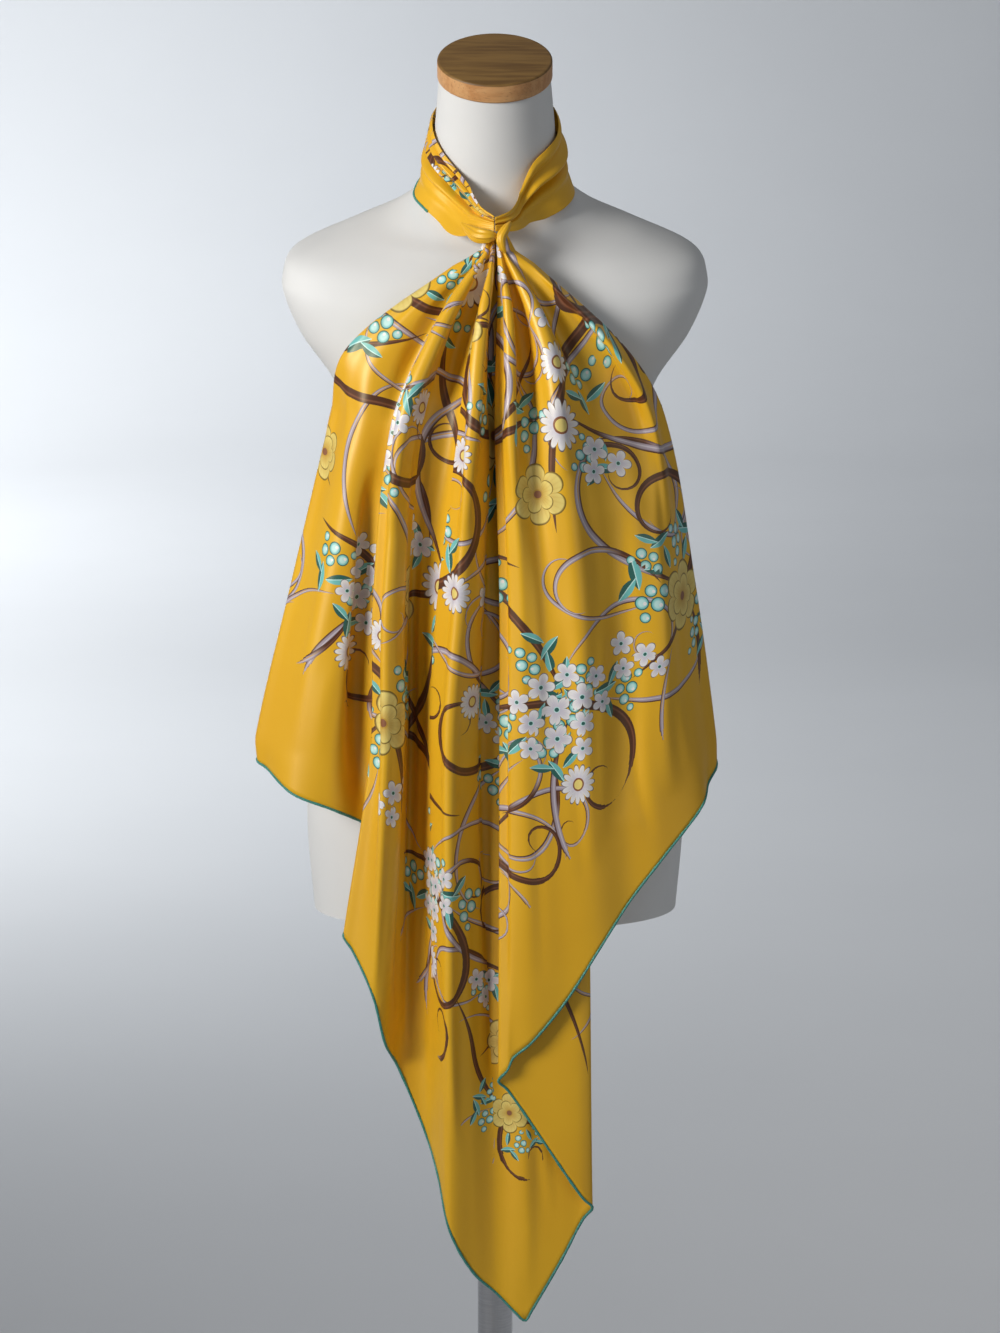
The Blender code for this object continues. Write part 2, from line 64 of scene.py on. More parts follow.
# name, turn, rise, across and forward at each level from the knot down, and the hem's
# across, forward and height, in mm. Turn is where the nose of a fold points: -1 left,
# 1 right, 0 for a plain ridge or valley. Rise is how far the cloth after a nose lies in
# front of the cloth before it.
FOLDS = (
    ("left_corner", 0, 0, (-6, -103, -143), (74, 87, 40), (-124, -75, 1005)),
    ("left_return", 0, 0, (-13, -113, -145, -163), (76, 87, 53, 2), (-178, -2, 915)),
    ("left_side", -1, 18, (-20, -127, -144, -180, -212), (81, 92, 75, 72, 78), (-211, 80, 842)),
    ("left_crest", 0, 0, (-17, -113, -127, -151, -172), (87, 101, 104, 112, 119), (-178, 121, 821)),
    ("left_middle", 0, 0, (-14, -94, -108, -125, -140), (87.5, 108, 118, 121, 124), (-144, 124, 808)),
    ("left_valley", 0, 0, (-11, -69, -94, -117, -124), (87.5, 106, 117, 110, 106), (-117, 111, 793)),
    ("under_fold", 1, 8, (-9.5, -54, -78, -90, -92), (88.5, 109, 123, 119, 115), (-84, 118, 776)),
    ("pleat_edge", -1, 8, (-15.5, -64, -90, -106, -109), (93, 118, 134, 133, 131), (-134, 131, 695)),
    ("pleat_crest", 0, 0, (-13.5, -56, -80, -93, -95), (98, 131, 148, 150, 150), (-108, 146, 645)),
    ("pleat_back", 0, 0, (-10.5, -48, -69, -79, -80), (97, 123, 142, 145, 145), (-97, 138, 597)),
    ("valley_left", 0, 0, (-8.5, -42, -61, -73, -75), (94, 110, 130, 119, 113), (-87, 119, 572)),
    ("valley_right", 0, 0, (-6.5, -28, -38, -60, -63), (93.5, 107, 129, 120, 115), (-62, 118, 509)),
    ("second_edge", 0, 0, (-5, -20, -28, -43, -52), (96, 119, 139, 142, 141), (-51, 134, 476)),
    ("second_crest", 0, 0, (-3, -14, -19, -31, -41), (100, 132, 151, 153, 153), (-40, 150, 427)),
    ("second_back", 0, 0, (-0.5, -8, -11, -17, -27), (97.5, 124, 144, 147, 146), (-19, 143, 386)),
    ("deep_valley", 0, 0, (1, -4.5, -5, -5, -8), (91, 114, 129, 126, 124), (2, 136, 364)),
    ("tip_left", 0, 0, (2.6, -2.5, -1, 4, 9), (87.5, 109, 122, 120, 119), (20, 140, 346)),
    ("tip", 0, 0, (4.2, 0, 2, 11, 17), (85.5, 108, 120, 119, 118), (27, 141, 340)),
    ("tip_right", 0, 0, (5.8, 2, 5, 17, 25), (84.5, 107, 119, 118, 118), (33, 141, 350)),
    ("back_right", 0, 0, (8, 6, 10, 34, 50), (84.5, 107, 119, 117, 117), (60, 139, 398)),
    ("hidden_fold", 1, 8, (12, 16, 24, 56, 78), (87.5, 111, 124, 122, 122), (87, 142, 447)),
    ("front_edge", -1, 8, (4.5, 1, 0, 4, 4), (93.5, 118, 133, 133, 131), (3, 148, 566)),
    ("thin_groove", 0, 0, (7.5, 7.5, 7, 12, 12), (97.5, 123, 143, 145, 145), (16, 151, 588)),
    ("front_crest", 0, 0, (10, 13, 14, 23, 24), (100, 131, 150, 151, 151), (31, 152, 601)),
    ("front_valley", 0, 0, (12.5, 22, 28, 44, 48), (95, 115, 132, 143, 146), (62, 147, 638)),
    ("third_crest", 0, 0, (15, 46, 56, 74, 79), (99.5, 128, 146, 145, 143), (93, 143, 687)),
    ("wide_valley", 0, 0, (17, 66, 89, 105, 110), (95, 108, 118, 129, 130), (119, 131, 726)),
    ("right_crest", 0, 0, (18.5, 93, 126, 139, 140), (96, 104, 98, 121, 124), (150, 124, 766)),
    ("right_slope", 0, 0, (22.5, 102.5, 138, 161, 175), (93.5, 115, 102, 98, 104), (184, 105, 808)),
    ("right_side", 1, -18, (25, 113, 149, 177, 196), (87, 99, 76, 70, 77), (197, 79, 838)),
    ("right_return", 0, 0, (15, 101, 147, 160), (80, 87, 56, 2), (170, -4, 915)),
    ("right_corner", 0, 0, (9, 91, 146), (78, 88, 42), (126, -75, 1005)),
)
print(len(FOLDS), "fold lines")


# %% [markdown]
# Between the heights of the table a fold line runs as one smooth curve. A fold that
# doubles back has a small nose, so its line becomes three that stand side by side.

# %% Curves down the fold lines
# the cloth beside a nose lies this far back from it, and less near the knot
NOSE_INSET = 0.008
INSET_SHARE = (0.18, 0.45, 0.8, 1.0, 1.0)
RISE_SHARE = (0.38, 0.60, 0.85, 1.0, 1.0)
# share of the hem's slope that a nose takes up
HEM_LEAN = 0.8
# above 1, the rows lie closer together near the knot
ROW_BUNCHING = 1.25
# a line shorter than this keeps level with the longer ones down to this share
SIDE_LENGTH = 0.455
LATE_START = 0.48


def smooth_at(stops, values, places):
    """Values at places on the smooth curve through values set at ordered stops."""
    stops = np.asarray(stops, float)
    values = np.asarray(values, float)
    places = np.asarray(places, float)
    if stops[-1] < stops[0]:
        stops, places = -stops, -places
    count = len(stops)
    before = np.maximum(np.arange(count) - 1, 0)
    after = np.minimum(np.arange(count) + 1, count - 1)
    slopes = (values[after] - values[before]) / (stops[after] - stops[before])
    i = np.clip(np.searchsorted(stops, places) - 1, 0, count - 2)
    width = stops[i + 1] - stops[i]
    s = (places - stops[i]) / width
    start = values[i] * (1 + 2 * s) * (1 - s) ** 2 + slopes[i] * width * s * (1 - s) ** 2
    end = values[i + 1] * s * s * (3 - 2 * s) + slopes[i + 1] * width * s * s * (s - 1)
    return start + end


def control_lines():
    """Heights, across and forward of each line; a nose becomes three lines."""
    hems = [fold[-1][2] * MM for fold in FOLDS]
    lines = []
    for k, (_, turn, rise, across, forward, hem) in enumerate(FOLDS):
        count = len(across)
        xs = np.array([*across, hem[0]]) * MM
        ys = -np.array([*forward, hem[1]]) * MM
        inset = NOSE_INSET * np.array([*INSET_SHARE[:count], 1.0])
        lift = rise * MM * np.array([*RISE_SHARE[:count], 1.0])
        for step in ((-0.5, 0.0, 0.5) if turn else (0.0,)):
            beside = k + int(2 * step)
            span = max(abs(FOLDS[beside][-1][0] - hem[0]) * MM, NOSE_INSET)
            low = hems[k] + (hems[beside] - hems[k]) * HEM_LEAN * NOSE_INSET / span
            heights = np.array([*LEVELS[:count], low])
            side_xs = xs - turn * inset * abs(2 * step)
            lines.append((k + step / 2, heights, side_xs, ys - step * lift))
    return lines


def line_points(line, shares):
    """Points down a fold line at shares of its length; short lines keep level."""
    _, heights, xs, ys = line
    length = heights[0] - heights[-1]
    drops = max(length, SIDE_LENGTH) * shares ** ROW_BUNCHING
    if length < SIDE_LENGTH:
        middle = SIDE_LENGTH * LATE_START ** ROW_BUNCHING
        late = (shares - LATE_START) / (1 - LATE_START)
        drops = np.where(late > 0, middle + (length - middle) * late, drops)
    z = heights[0] - drops
    return np.stack([smooth_at(heights, xs, z), smooth_at(heights, ys, z), z], axis=1)


lines = control_lines()
print(len(lines), "curves, of which a nose takes three")


# %% [markdown]
# From line to line the cloth is rounded as well. The result is a fine grid of points:
# rows go from the knot to the hem, and columns lie beside each other like the warp
# threads. A grid is easier to crease, to print and to measure than a loose mesh.

# %% A fine grid of points
FALL_ROWS = 134
COLUMN_PITCH = 0.0050
# the share of the way down where the columns are spaced out
PITCH_DEPTH = 0.8
NOSE_COLUMNS = 4


def blended(p, q, low, high, t):
    """From p at low to q at high."""
    weight = ((t - low) / (high - low))[:, None]
    return p * (1 - weight) + q * weight


def rounded_between(before, start, end, after, share):
    """Points at a share of the rounded curve from start to end; it never loops."""
    knots = [np.zeros(len(start))]
    for a, b in ((before, start), (start, end), (end, after)):
        step = np.maximum(np.linalg.norm(b - a, axis=1), 1e-6)
        knots.append(knots[-1] + np.sqrt(step))
    t = knots[1] + (knots[2] - knots[1]) * share
    line = [before, start, end, after]
    for reach in (1, 2):
        line = [blended(line[k], line[k + 1], knots[k], knots[k + reach], t)
                for k in range(len(line) - 1)]
    return blended(*line, knots[1], knots[2], t)


shares = np.linspace(0.0, 1.0, FALL_ROWS + 1)
guides = [line_points(line, shares) for line in lines]
guides = [2 * guides[0] - guides[1], *guides, 2 * guides[-1] - guides[-2]]
deep = int(FALL_ROWS * PITCH_DEPTH ** (1 / ROW_BUNCHING))
fall_columns = []
line_places = []
for k in range(len(lines) - 1):
    place, next_place = lines[k][0], lines[k + 1][0]
    gap = np.linalg.norm(guides[k + 2][deep] - guides[k + 1][deep])
    nose = next_place - place < 0.5
    steps = NOSE_COLUMNS if nose else max(2, math.ceil(gap / COLUMN_PITCH))
    for step in range(steps):
        share = step / steps
        fall_columns.append(rounded_between(*guides[k:k + 4], share))
        line_places.append(place + (next_place - place) * share)
fall_columns.append(guides[-2])
line_places.append(lines[-1][0])
fall_grid = np.stack(fall_columns, axis=1)
line_places = np.array(line_places)
print("grid of the fall:", fall_grid.shape[0], "rows,", fall_grid.shape[1], "columns")


# %% [markdown]
# A knot squeezes all the pleats into a bundle no thicker than a finger. The rows near
# the top are drawn together sideways by a share that depends on the height, the outer
# ones less than those in the middle, and a few more rows carry the bundle up behind the
# turns of the knot.

# %% Gather the top into the knot
# the place that the pleats are drawn to, and the shares of their width and depth that
# are left at each height
KNOT_PLACE = np.array((-0.0010, -0.0820))
PINCH_HEIGHTS = (1.235, 1.255, 1.270, 1.2865, 1.297)
PINCH_SHARES = (1.0, 0.95, 0.83, 0.66, 0.50)
FLATTEN_SHARES = (1.0, 1.0, 0.95, 0.80, 0.62)
# how much less the outer columns are narrowed, from where, and over what width
OUTER_EASE = 0.8
OUTER_START = 0.012
OUTER_RUN = 0.025
# the rows that go up behind the knot, and how narrow and flat they get
TUCK_ROWS = 9
TUCK_RISE = 0.0145
TUCK_WIDTH = 0.30
TUCK_DEPTH = 0.80


def gather_top(grid):
    """Narrow the upper rows and add rows that run up behind the knot."""
    height = grid[..., 2]
    share, flatten = [np.interp(height, PINCH_HEIGHTS, wanted)
                      for wanted in (PINCH_SHARES, FLATTEN_SHARES)]
    off = grid[..., :2] - KNOT_PLACE
    outer = np.clip((abs(off[..., 0]) - OUTER_START) / OUTER_RUN, 0, 1)
    share = share + (1 - share) * OUTER_EASE * outer
    grid = grid.copy()
    grid[..., :2] = KNOT_PLACE + off * np.stack([share, flatten], axis=-1)
    t = np.linspace(1.0, 0.0, TUCK_ROWS, endpoint=False)[:, None]
    narrow = 1 + (TUCK_WIDTH / PINCH_SHARES[-1] - 1) * t
    level = 1 - TUCK_DEPTH * t * (2 - t)
    off = grid[0, :, :2] - KNOT_PLACE
    rows = np.stack([KNOT_PLACE[0] + off[:, 0] * narrow, KNOT_PLACE[1] + off[:, 1] * level,
                     grid[0, :, 2] + TUCK_RISE * t], axis=-1)
    return np.concatenate([rows, grid])


fall_grid = gather_top(fall_grid)
print(f"width at the knot: {np.ptp(fall_grid[0, :, 0]) / MM:.1f} mm")


# %% [markdown]
# Real silk has small soft creases between its main folds, where it was pinched at the
# knot or sat folded in a drawer. A noise texture would spread them evenly, and then the
# cloth looks like crumpled paper. So each crease here has its own line, width and depth,
# and pushes the grid along its normal. A few wide ones deepen a valley or fill a crest.

# %% Lengths and normals of a grid
def lengths_between(points, axis):
    """Running length along an axis of a grid of points, starting at nought."""
    steps = np.linalg.norm(np.diff(points, axis=axis), axis=-1)
    start = np.zeros_like(np.take(steps, [0], axis=axis))
    return np.concatenate([start, np.cumsum(steps, axis=axis)], axis=axis)


def face_corners(grid):
    """The four corners of every face of a grid, in the order of its outline."""
    return [grid[:-1, :-1], grid[1:, :-1], grid[1:, 1:], grid[:-1, 1:]]


def grid_normals(grid):
    """Unit normal at each point of a grid, from the triangles round it."""
    sums = np.zeros_like(grid)
    corners, totals = face_corners(grid), face_corners(sums)
    for triangle in ((0, 1, 2), (0, 2, 3)):
        a, b, c = [corners[k] for k in triangle]
        facing = np.cross(b - a, c - a)
        facing /= np.maximum(np.linalg.norm(facing, axis=-1, keepdims=True), 1e-12)
        for k in triangle:
            totals[k] += facing
    return sums / np.maximum(np.linalg.norm(sums, axis=-1, keepdims=True), 1e-12)


# %% Small creases
# start line, start height, end line, end height, sideways bow, half width and
# depth in mm. A place such as 3.4 lies between the fold lines 3 and 4 of the table,
# and a negative depth is a trough.
CREASES = (
    (3.5, 1240, 3.2, 930, 6, 9, 2.4), (4.3, 1215, 4.6, 1010, -5, 7, -2.0),
    (2.9, 1120, 2.7, 900, 4, 8, -1.8), (4.7, 1030, 4.9, 830, 5, 10, 2.2),
    (3.8, 960, 3.5, 850, -4, 7, 1.5), (2.6, 1190, 3.4, 1050, 8, 6, 1.4),
    (5.4, 1140, 5.5, 900, 2, 6, -1.8), (5.7, 960, 5.6, 800, -3, 7, 1.6),
    (7.6, 1200, 7.7, 980, 1, 5, -1.2), (8.4, 1090, 8.5, 800, 2, 6, 1.3),
    (9.3, 1010, 9.5, 680, -2, 6, -1.6), (10.4, 1180, 10.6, 930, 1, 5, 1.5),
    (10.6, 1000, 10.3, 700, -3, 8, 2.4), (10.8, 780, 11.2, 600, 4, 7, -1.6),
    (11.6, 1060, 11.5, 780, 2, 5, 1.3), (12.4, 1180, 12.5, 920, 0, 4, -0.9),
    (13.4, 960, 13.5, 690, 2, 6, 1.6), (14.3, 820, 14.6, 560, -3, 7, -1.5),
    (12.6, 700, 13.3, 500, 4, 9, 1.8), (15.5, 620, 16.6, 430, 5, 10, 2.4),
    (18.3, 600, 18.7, 440, -4, 8, 1.8), (19.4, 700, 19.5, 500, 4, 9, -2.0),
    (22.4, 1160, 22.6, 900, 1, 4, -1.0), (23.5, 1100, 23.6, 760, 3, 7, 1.6),
    (23.7, 900, 23.4, 650, -3, 8, -1.6), (24.5, 1230, 24.4, 1000, 2, 6, 1.9),
    (24.6, 980, 24.7, 740, 4, 9, -2.0), (25.4, 1200, 25.6, 960, -3, 8, -1.7),
    (25.6, 1020, 25.3, 780, 3, 9, 2.0), (26.5, 1170, 26.4, 930, 5, 10, 2.6),
    (26.4, 900, 26.7, 780, -4, 8, -1.6), (27.5, 1160, 27.4, 980, 3, 7, -1.8),
    (27.6, 990, 27.8, 840, -4, 8, 2.0), (28.5, 1080, 28.5, 900, 3, 7, 1.5),
    (28.2, 1245, 27.2, 1120, -6, 7, 1.8), (26.8, 1250, 25.8, 1150, 5, 6, -1.5),
    (1.5, 1120, 1.4, 960, 4, 8, 2.4), (0.6, 1170, 0.5, 1050, -3, 7, -1.8),
    (1.2, 1060, 1.7, 900, 5, 8, -1.6), (30.4, 1120, 30.5, 970, -4, 8, 2.2),
    (30.7, 1050, 30.2, 910, 3, 7, -1.7), (30.8, 1180, 30.6, 1060, 4, 7, 1.5),
    (10.2, 1275, 10.5, 1180, 1, 3, 1.0), (11.5, 1270, 11.6, 1200, 0, 3, -0.9),
    (24.5, 1280, 24.5, 1215, 1, 3, -1.0), (26.4, 1276, 26.6, 1200, 2, 3.5, 1.4),
    (4.6, 1280, 4.4, 1220, 2, 3.5, -1.2), (3.6, 1278, 3.7, 1225, 0, 3.5, 1.3),
    (4.9, 1110, 5.1, 790, 0, 10, -9.0), (5.1, 1290, 5.2, 1150, 0, 8, -7.0),
    (8.0, 1288, 8.0, 1060, 0, 8, 8.0), (8.0, 1120, 8.1, 640, 0, 10, 6.5),
    (9.5, 1130, 9.6, 620, 0, 6, -6.0), (10.3, 1085, 10.3, 590, 0, 9, -10.0),
    (10.6, 1290, 10.6, 1160, 0, 7, -9.0), (13.0, 1288, 13.0, 1060, 0, 6, 8.0),
    (13.0, 1120, 13.2, 520, 0, 10, 5.5), (15.0, 1085, 15.0, 560, 0, 6, -9.0),
    (15.3, 1288, 15.3, 1140, 0, 4, -4.0), (23.0, 1288, 23.0, 1090, 0, 5, 6.0),
    (24.2, 1288, 24.2, 1140, 0, 6, -7.0), (25.0, 1290, 25.0, 1110, 0, 8, 8.0),
    (25.9, 1280, 26.0, 1150, 0, 7, -8.0), (27.0, 1250, 27.0, 1130, 0, 6, -2.5),
    (26.3, 1075, 26.2, 800, 0, 20, -6.0), (25.0, 1080, 24.9, 760, 0, 14, 5.0),
    (27.3, 1060, 27.3, 820, 0, 12, 5.0), (3.2, 1160, 3.0, 860, 0, 16, 5.0),
    (17.0, 640, 17.2, 360, 6, 14, 4.0),
)


# a crease fades out at both ends; a lower power keeps it deep for longer
CREASE_FADE = 0.8


def press_creases(grid, places, creases):
    """Push a grid of points along its normals by each crease of the table."""
    across = lengths_between(grid, 1)
    push = np.zeros(grid.shape[:2])
    z = grid[..., 2]
    columns = np.arange(grid.shape[1])
    rows = np.arange(grid.shape[0])[:, None]
    for from_line, top, to_line, bottom, bow, half_width, depth in creases:
        way = np.clip((top * MM - z) / ((top - bottom) * MM), 0, 1)
        column = np.interp(from_line + (to_line - from_line) * way, places, columns)
        low = np.clip(column.astype(int), 0, grid.shape[1] - 2)
        share = column - low
        centre = across[rows, low] * (1 - share) + across[rows, low + 1] * share
        arch = np.sin(np.pi * way)
        off = across - centre - bow * MM * arch
        fade = np.where((way > 0) & (way < 1), arch ** CREASE_FADE, 0)
        push += depth * MM * fade * np.exp(-(off / (half_width * MM)) ** 2)
    return grid + grid_normals(grid) * push[..., None]


fall_grid = press_creases(fall_grid, line_places, CREASES)
print(len(CREASES), "creases pressed into the fall")


# %% [markdown]
# Printing needs to know where a point of the hanging cloth lay when the square was
# still flat. Along the hem this is simple: its length is spread evenly over the edge of
# the square. Towards the knot the cloth is gathered, and most of it hides inside the
# pleats. So each pleat is laid flat from its own crest outwards, at true scale, and the
# cloth that is missing between two pleats is what their valley hides.

# %% Where each row and column lay on the flat square
SIDE = 1.10
HALF_DIAGONAL = SIDE / math.sqrt(2)
# how far up the diagonal from the tip the knot sits
KNOT_LINE = 1.036
GATHER = (2 * HALF_DIAGONAL - KNOT_LINE) / HALF_DIAGONAL

hem_length = lengths_between(fall_grid[-1], 0)
tip_line = [fold[0] for fold in FOLDS].index("tip")
left_length = hem_length[np.argmin(abs(line_places - tip_line))]
right_length = hem_length[-1] - left_length
from_tip = hem_length - left_length
hem_u = HALF_DIAGONAL * from_tip / np.where(from_tip < 0, left_length, right_length)
hem_flat = np.stack([hem_u, abs(hem_u)], axis=-1)
knot_flat = np.stack([GATHER * hem_u, np.full_like(hem_u, KNOT_LINE)], axis=-1)
down = lengths_between(fall_grid, 0)
down = (down / down[-1])[..., None]
even_flat = knot_flat + (hem_flat - knot_flat) * down
print(f"hem from tip to corner: {left_length:.3f} m left, {right_length:.3f} m right,"
      f" {SIDE:.2f} m when flat")


# %% Each pleat laid flat from its crest
# first line of each pleat, and the crest that it is laid out from
PLEATS = ((0, 3.5), (6.5, 8), (9.8, 10.6), (11.6, 13.4), (15, 18), (20.5, 24.5))
# shares of the way up from the hem where this sets in, and over which it grows
PLEAT_START = 0.06
PLEAT_GROWTH = 0.32


def running(steps):
    """Sums of the steps from column to column, starting at nought."""
    return np.concatenate([np.zeros((len(steps), 1)), np.cumsum(steps, axis=1)], axis=1)


along = np.gradient(fall_grid, axis=0)
along /= np.linalg.norm(along, axis=-1, keepdims=True)
step = np.diff(fall_grid, axis=1)
step_along = (step * (along[:, 1:] + along[:, :-1]) / 2).sum(axis=-1)
step_across = np.sqrt(np.maximum((step ** 2).sum(axis=-1) - step_along ** 2, 0))
run_along, run_across = running(step_along), running(step_across)
# one map for the left corners of the faces and one for the right ones
pleat_flat = np.zeros((2, *fall_grid.shape[:2], 2))
gathered = np.clip((1 - down - PLEAT_START) / PLEAT_GROWTH, 0, 1)
gathered = gathered * gathered * (3 - 2 * gathered)
starts = [int(np.argmin(abs(line_places - first))) for first, _ in PLEATS]
ends = [*starts[1:], fall_grid.shape[1] - 1]
for first, last, (_, crest) in zip(starts, ends, PLEATS):
    middle = int(np.argmin(abs(line_places - crest)))
    toward = hem_flat[middle] - knot_flat[middle]
    toward /= np.linalg.norm(toward)
    side_way = np.array([-toward[1], toward[0]])
    block = slice(first, last + 1)
    out = (run_across[:, block] - run_across[:, middle:middle + 1])[..., None] * side_way
    fore = (run_along[:, block] - run_along[:, middle:middle + 1])[..., None] * toward
    laid = even_flat[:, middle:middle + 1] + out + fore
    weight = gathered[:, block]
    laid = even_flat[:, block] * (1 - weight) + laid * weight
    pleat_flat[0, :, first:last] = laid[:, :-1]
    pleat_flat[1, :, first:last] = laid[:, 1:]
left_flat, right_flat = pleat_flat[:, :, :-1]
fall_flat = np.stack([left_flat[:-1], left_flat[1:], right_flat[1:], right_flat[:-1]],
                     axis=2)
print("flat map:", fall_flat.shape[0] * fall_flat.shape[1], "faces")


# %% [markdown]
# The print is a garden of scrolls and flowers on gold, with a plain border. Scrolls are
# drawn as a plotter would draw them: a start, a heading, and runs whose bend grows or
# shrinks evenly. An image could be painted instead, but drawn lines stay sharp at any
# distance. Scrolls may cross, so they are sorted into five layers that lie over each
# other, and the scrolls of one layer stay apart.

# %% Scrolls of one spray, and the sprays of the print
# style (0 lilac, 1 brown, 2 both by turns), start x and y, heading, half width and the
# runs (length, first and last radius), all in mm from the middle of a spray, which a
# heading of 0 leaves to the right
SCROLLS = (
    (1, -74, -56, 24, 4.9, ((130, 420, 150), (140, 100, 34), (80, 30, 14))),
    (2, 6, 12, 158, 3.9, ((110, -380, -110), (130, -80, -30), (74, -26, -12))),
    (1, 14, -8, 292, 4.4, ((120, -300, -150), (100, 240, 130))),
    (0, 40, 30, 62, 3.4, ((100, -260, -110), (90, -90, -40))),
    (0, 30, -22, 338, 2.6, ((90, 130, 70), (100, 48, 20), (44, 18, 9))),
    (2, -34, 26, 118, 3.2, ((80, 120, 60), (90, 50, 18))),
    (0, -30, -40, 250, 3.0, ((80, 200, 120), (110, 90, 60))),
    (0, -52, 10, 190, 2.2, ((90, -150, -60), (70, -40, -14))),
)
# across and up the diagonal from the tip in metres, turn in degrees, size, mirrored,
# and the kind of flowers
SPRAYS = (
    (-0.010, 0.205, 200, 0.60, 1, "bloom"), (0.010, 0.325, 12, 0.88, 1, "daisies"),
    (-0.125, 0.420, 205, 0.98, -1, "cluster"),
    (0.140, 0.445, -18, 0.92, 1, "bloom"), (0.015, 0.575, 96, 0.90, -1, "cluster"),
    (-0.265, 0.560, 64, 0.95, 1, "bloom"), (0.305, 0.600, 232, 1.02, -1, "cluster"),
    (-0.130, 0.700, 330, 1.05, 1, "daisies"), (0.155, 0.720, 148, 1.05, 1, "cluster"),
    (-0.400, 0.690, 170, 1.00, -1, "cluster"), (0.430, 0.710, 20, 1.00, 1, "bloom"),
    (0.000, 0.850, 48, 1.05, -1, "bloom"), (-0.275, 0.845, 250, 1.05, 1, "cluster"),
    (0.290, 0.860, 305, 1.05, -1, "daisies"), (-0.520, 0.830, 110, 0.90, 1, "daisies"),
    (0.540, 0.840, 196, 0.90, -1, "cluster"), (-0.140, 0.985, 15, 1.00, -1, "daisies"),
    (0.140, 0.990, 170, 1.00, 1, "bloom"), (-0.395, 0.960, 300, 0.95, 1, "bloom"),
    (0.405, 0.975, 78, 0.95, -1, "cluster"), (0.000, 1.120, 220, 0.95, 1, "cluster"),
    (-0.250, 1.110, 130, 0.95, -1, "cluster"), (0.250, 1.120, 20, 0.95, 1, "daisies"),
    (-0.120, 1.240, 285, 0.80, 1, "bloom"), (0.110, 1.250, 64, 0.80, -1, "daisies"),
    (0.235, 0.475, 262, 0.72, 1, "scrolls"), (-0.345, 1.035, 40, 0.62, -1, "daisies"),
)
print(len(SCROLLS), "scrolls in each of", len(SPRAYS), "sprays")


# %% Drawing a scroll
# width of the plain border, and length of one sample of a scroll in mm
BORDER = 0.092
STEP = 2.0


def edge_distance(flat):
    """How far points of the flat square lie inside its nearest edge."""
    u = abs(flat[..., 0])
    v = flat[..., 1]
    return np.minimum(v - u, 2 * HALF_DIAGONAL - v - u) / math.sqrt(2)


def draw_scroll(start, heading, half_width, runs):
    """Samples of one scroll: place, way, bend, run length and half width."""
    places, ways, bends = [], [], []
    point = np.array(start, float)
    angle = math.radians(heading)
    for length, first, last in runs:
        count = int(length / STEP)
        for k in range(count):
            bend = 1 / first + (1 / last - 1 / first) * (k + 0.5) / count
            places.append(point)
            ways.append(angle)
            bends.append(bend)
            middle = angle + bend * STEP / 2
            point = point + STEP * np.array([math.cos(middle), math.sin(middle)])
            angle += bend * STEP
    count = len(places)
    share = (np.arange(count) + 0.5) / count
    # fine at both ends, and thickest a little before the middle
    taper = np.sin(np.pi * share) ** 0.75 * (1.12 - 0.42 * share)
    return (np.array(places), np.array(ways), np.array(bends),
            np.arange(count) * STEP, half_width * taper)


def placed(point, spray):
    """A point of a spray in mm, taken to its place on the flat square in metres."""
    u, v, turn, size, mirror, _ = spray
    turn = math.radians(turn)
    x = point[..., 0] * mirror * size * MM
    y = point[..., 1] * size * MM
    return np.stack([u + x * math.cos(turn) - y * math.sin(turn),
                     v + x * math.sin(turn) + y * math.cos(turn)], axis=-1)


# %% Scrolls sorted into layers
LAYERS = 5
CLEARANCE = 0.0105
# the run length tells the style too: a scroll of style 1 starts at this run
STYLE_STEP = 10.0
# how fast a scroll thins out towards the border, and where it is given up
BORDER_TAPER = 0.25
LEAST_WIDTH = -0.002
scroll_layers = [np.zeros((0, 8)) for _ in range(LAYERS)]
left_out = 0
for style, x, y, heading, half_width, runs in SCROLLS:
    for spray in SPRAYS:
        _, _, turn, size, mirror, _ = spray
        places, ways, bends, run, widths = draw_scroll((x, y), heading, half_width, runs)
        places = placed(places, spray)
        ways = np.where(mirror > 0, ways, np.pi - ways) + math.radians(turn)
        widths = widths * size * MM
        slopes = np.gradient(widths, STEP * MM * size)
        widths = np.minimum(widths, (edge_distance(places) - BORDER) * BORDER_TAPER)
        samples = np.column_stack([places, np.cos(ways), np.sin(ways),
                                   bends * mirror / (size * MM),
                                   run * size * MM + STYLE_STEP * style, widths, slopes])
        samples = samples[widths > LEAST_WIDTH]
        for layer, laid in enumerate(scroll_layers):
            apart = samples[:, None, :2] - laid[None, :, :2]
            if not apart.size or np.linalg.norm(apart, axis=-1).min() > CLEARANCE:
                scroll_layers[layer] = np.concatenate([laid, samples])
                break
        else:
            left_out += 1
print(left_out, "scrolls left out because they would touch others in every layer")
print("scroll samples:", [len(samples) for samples in scroll_layers])
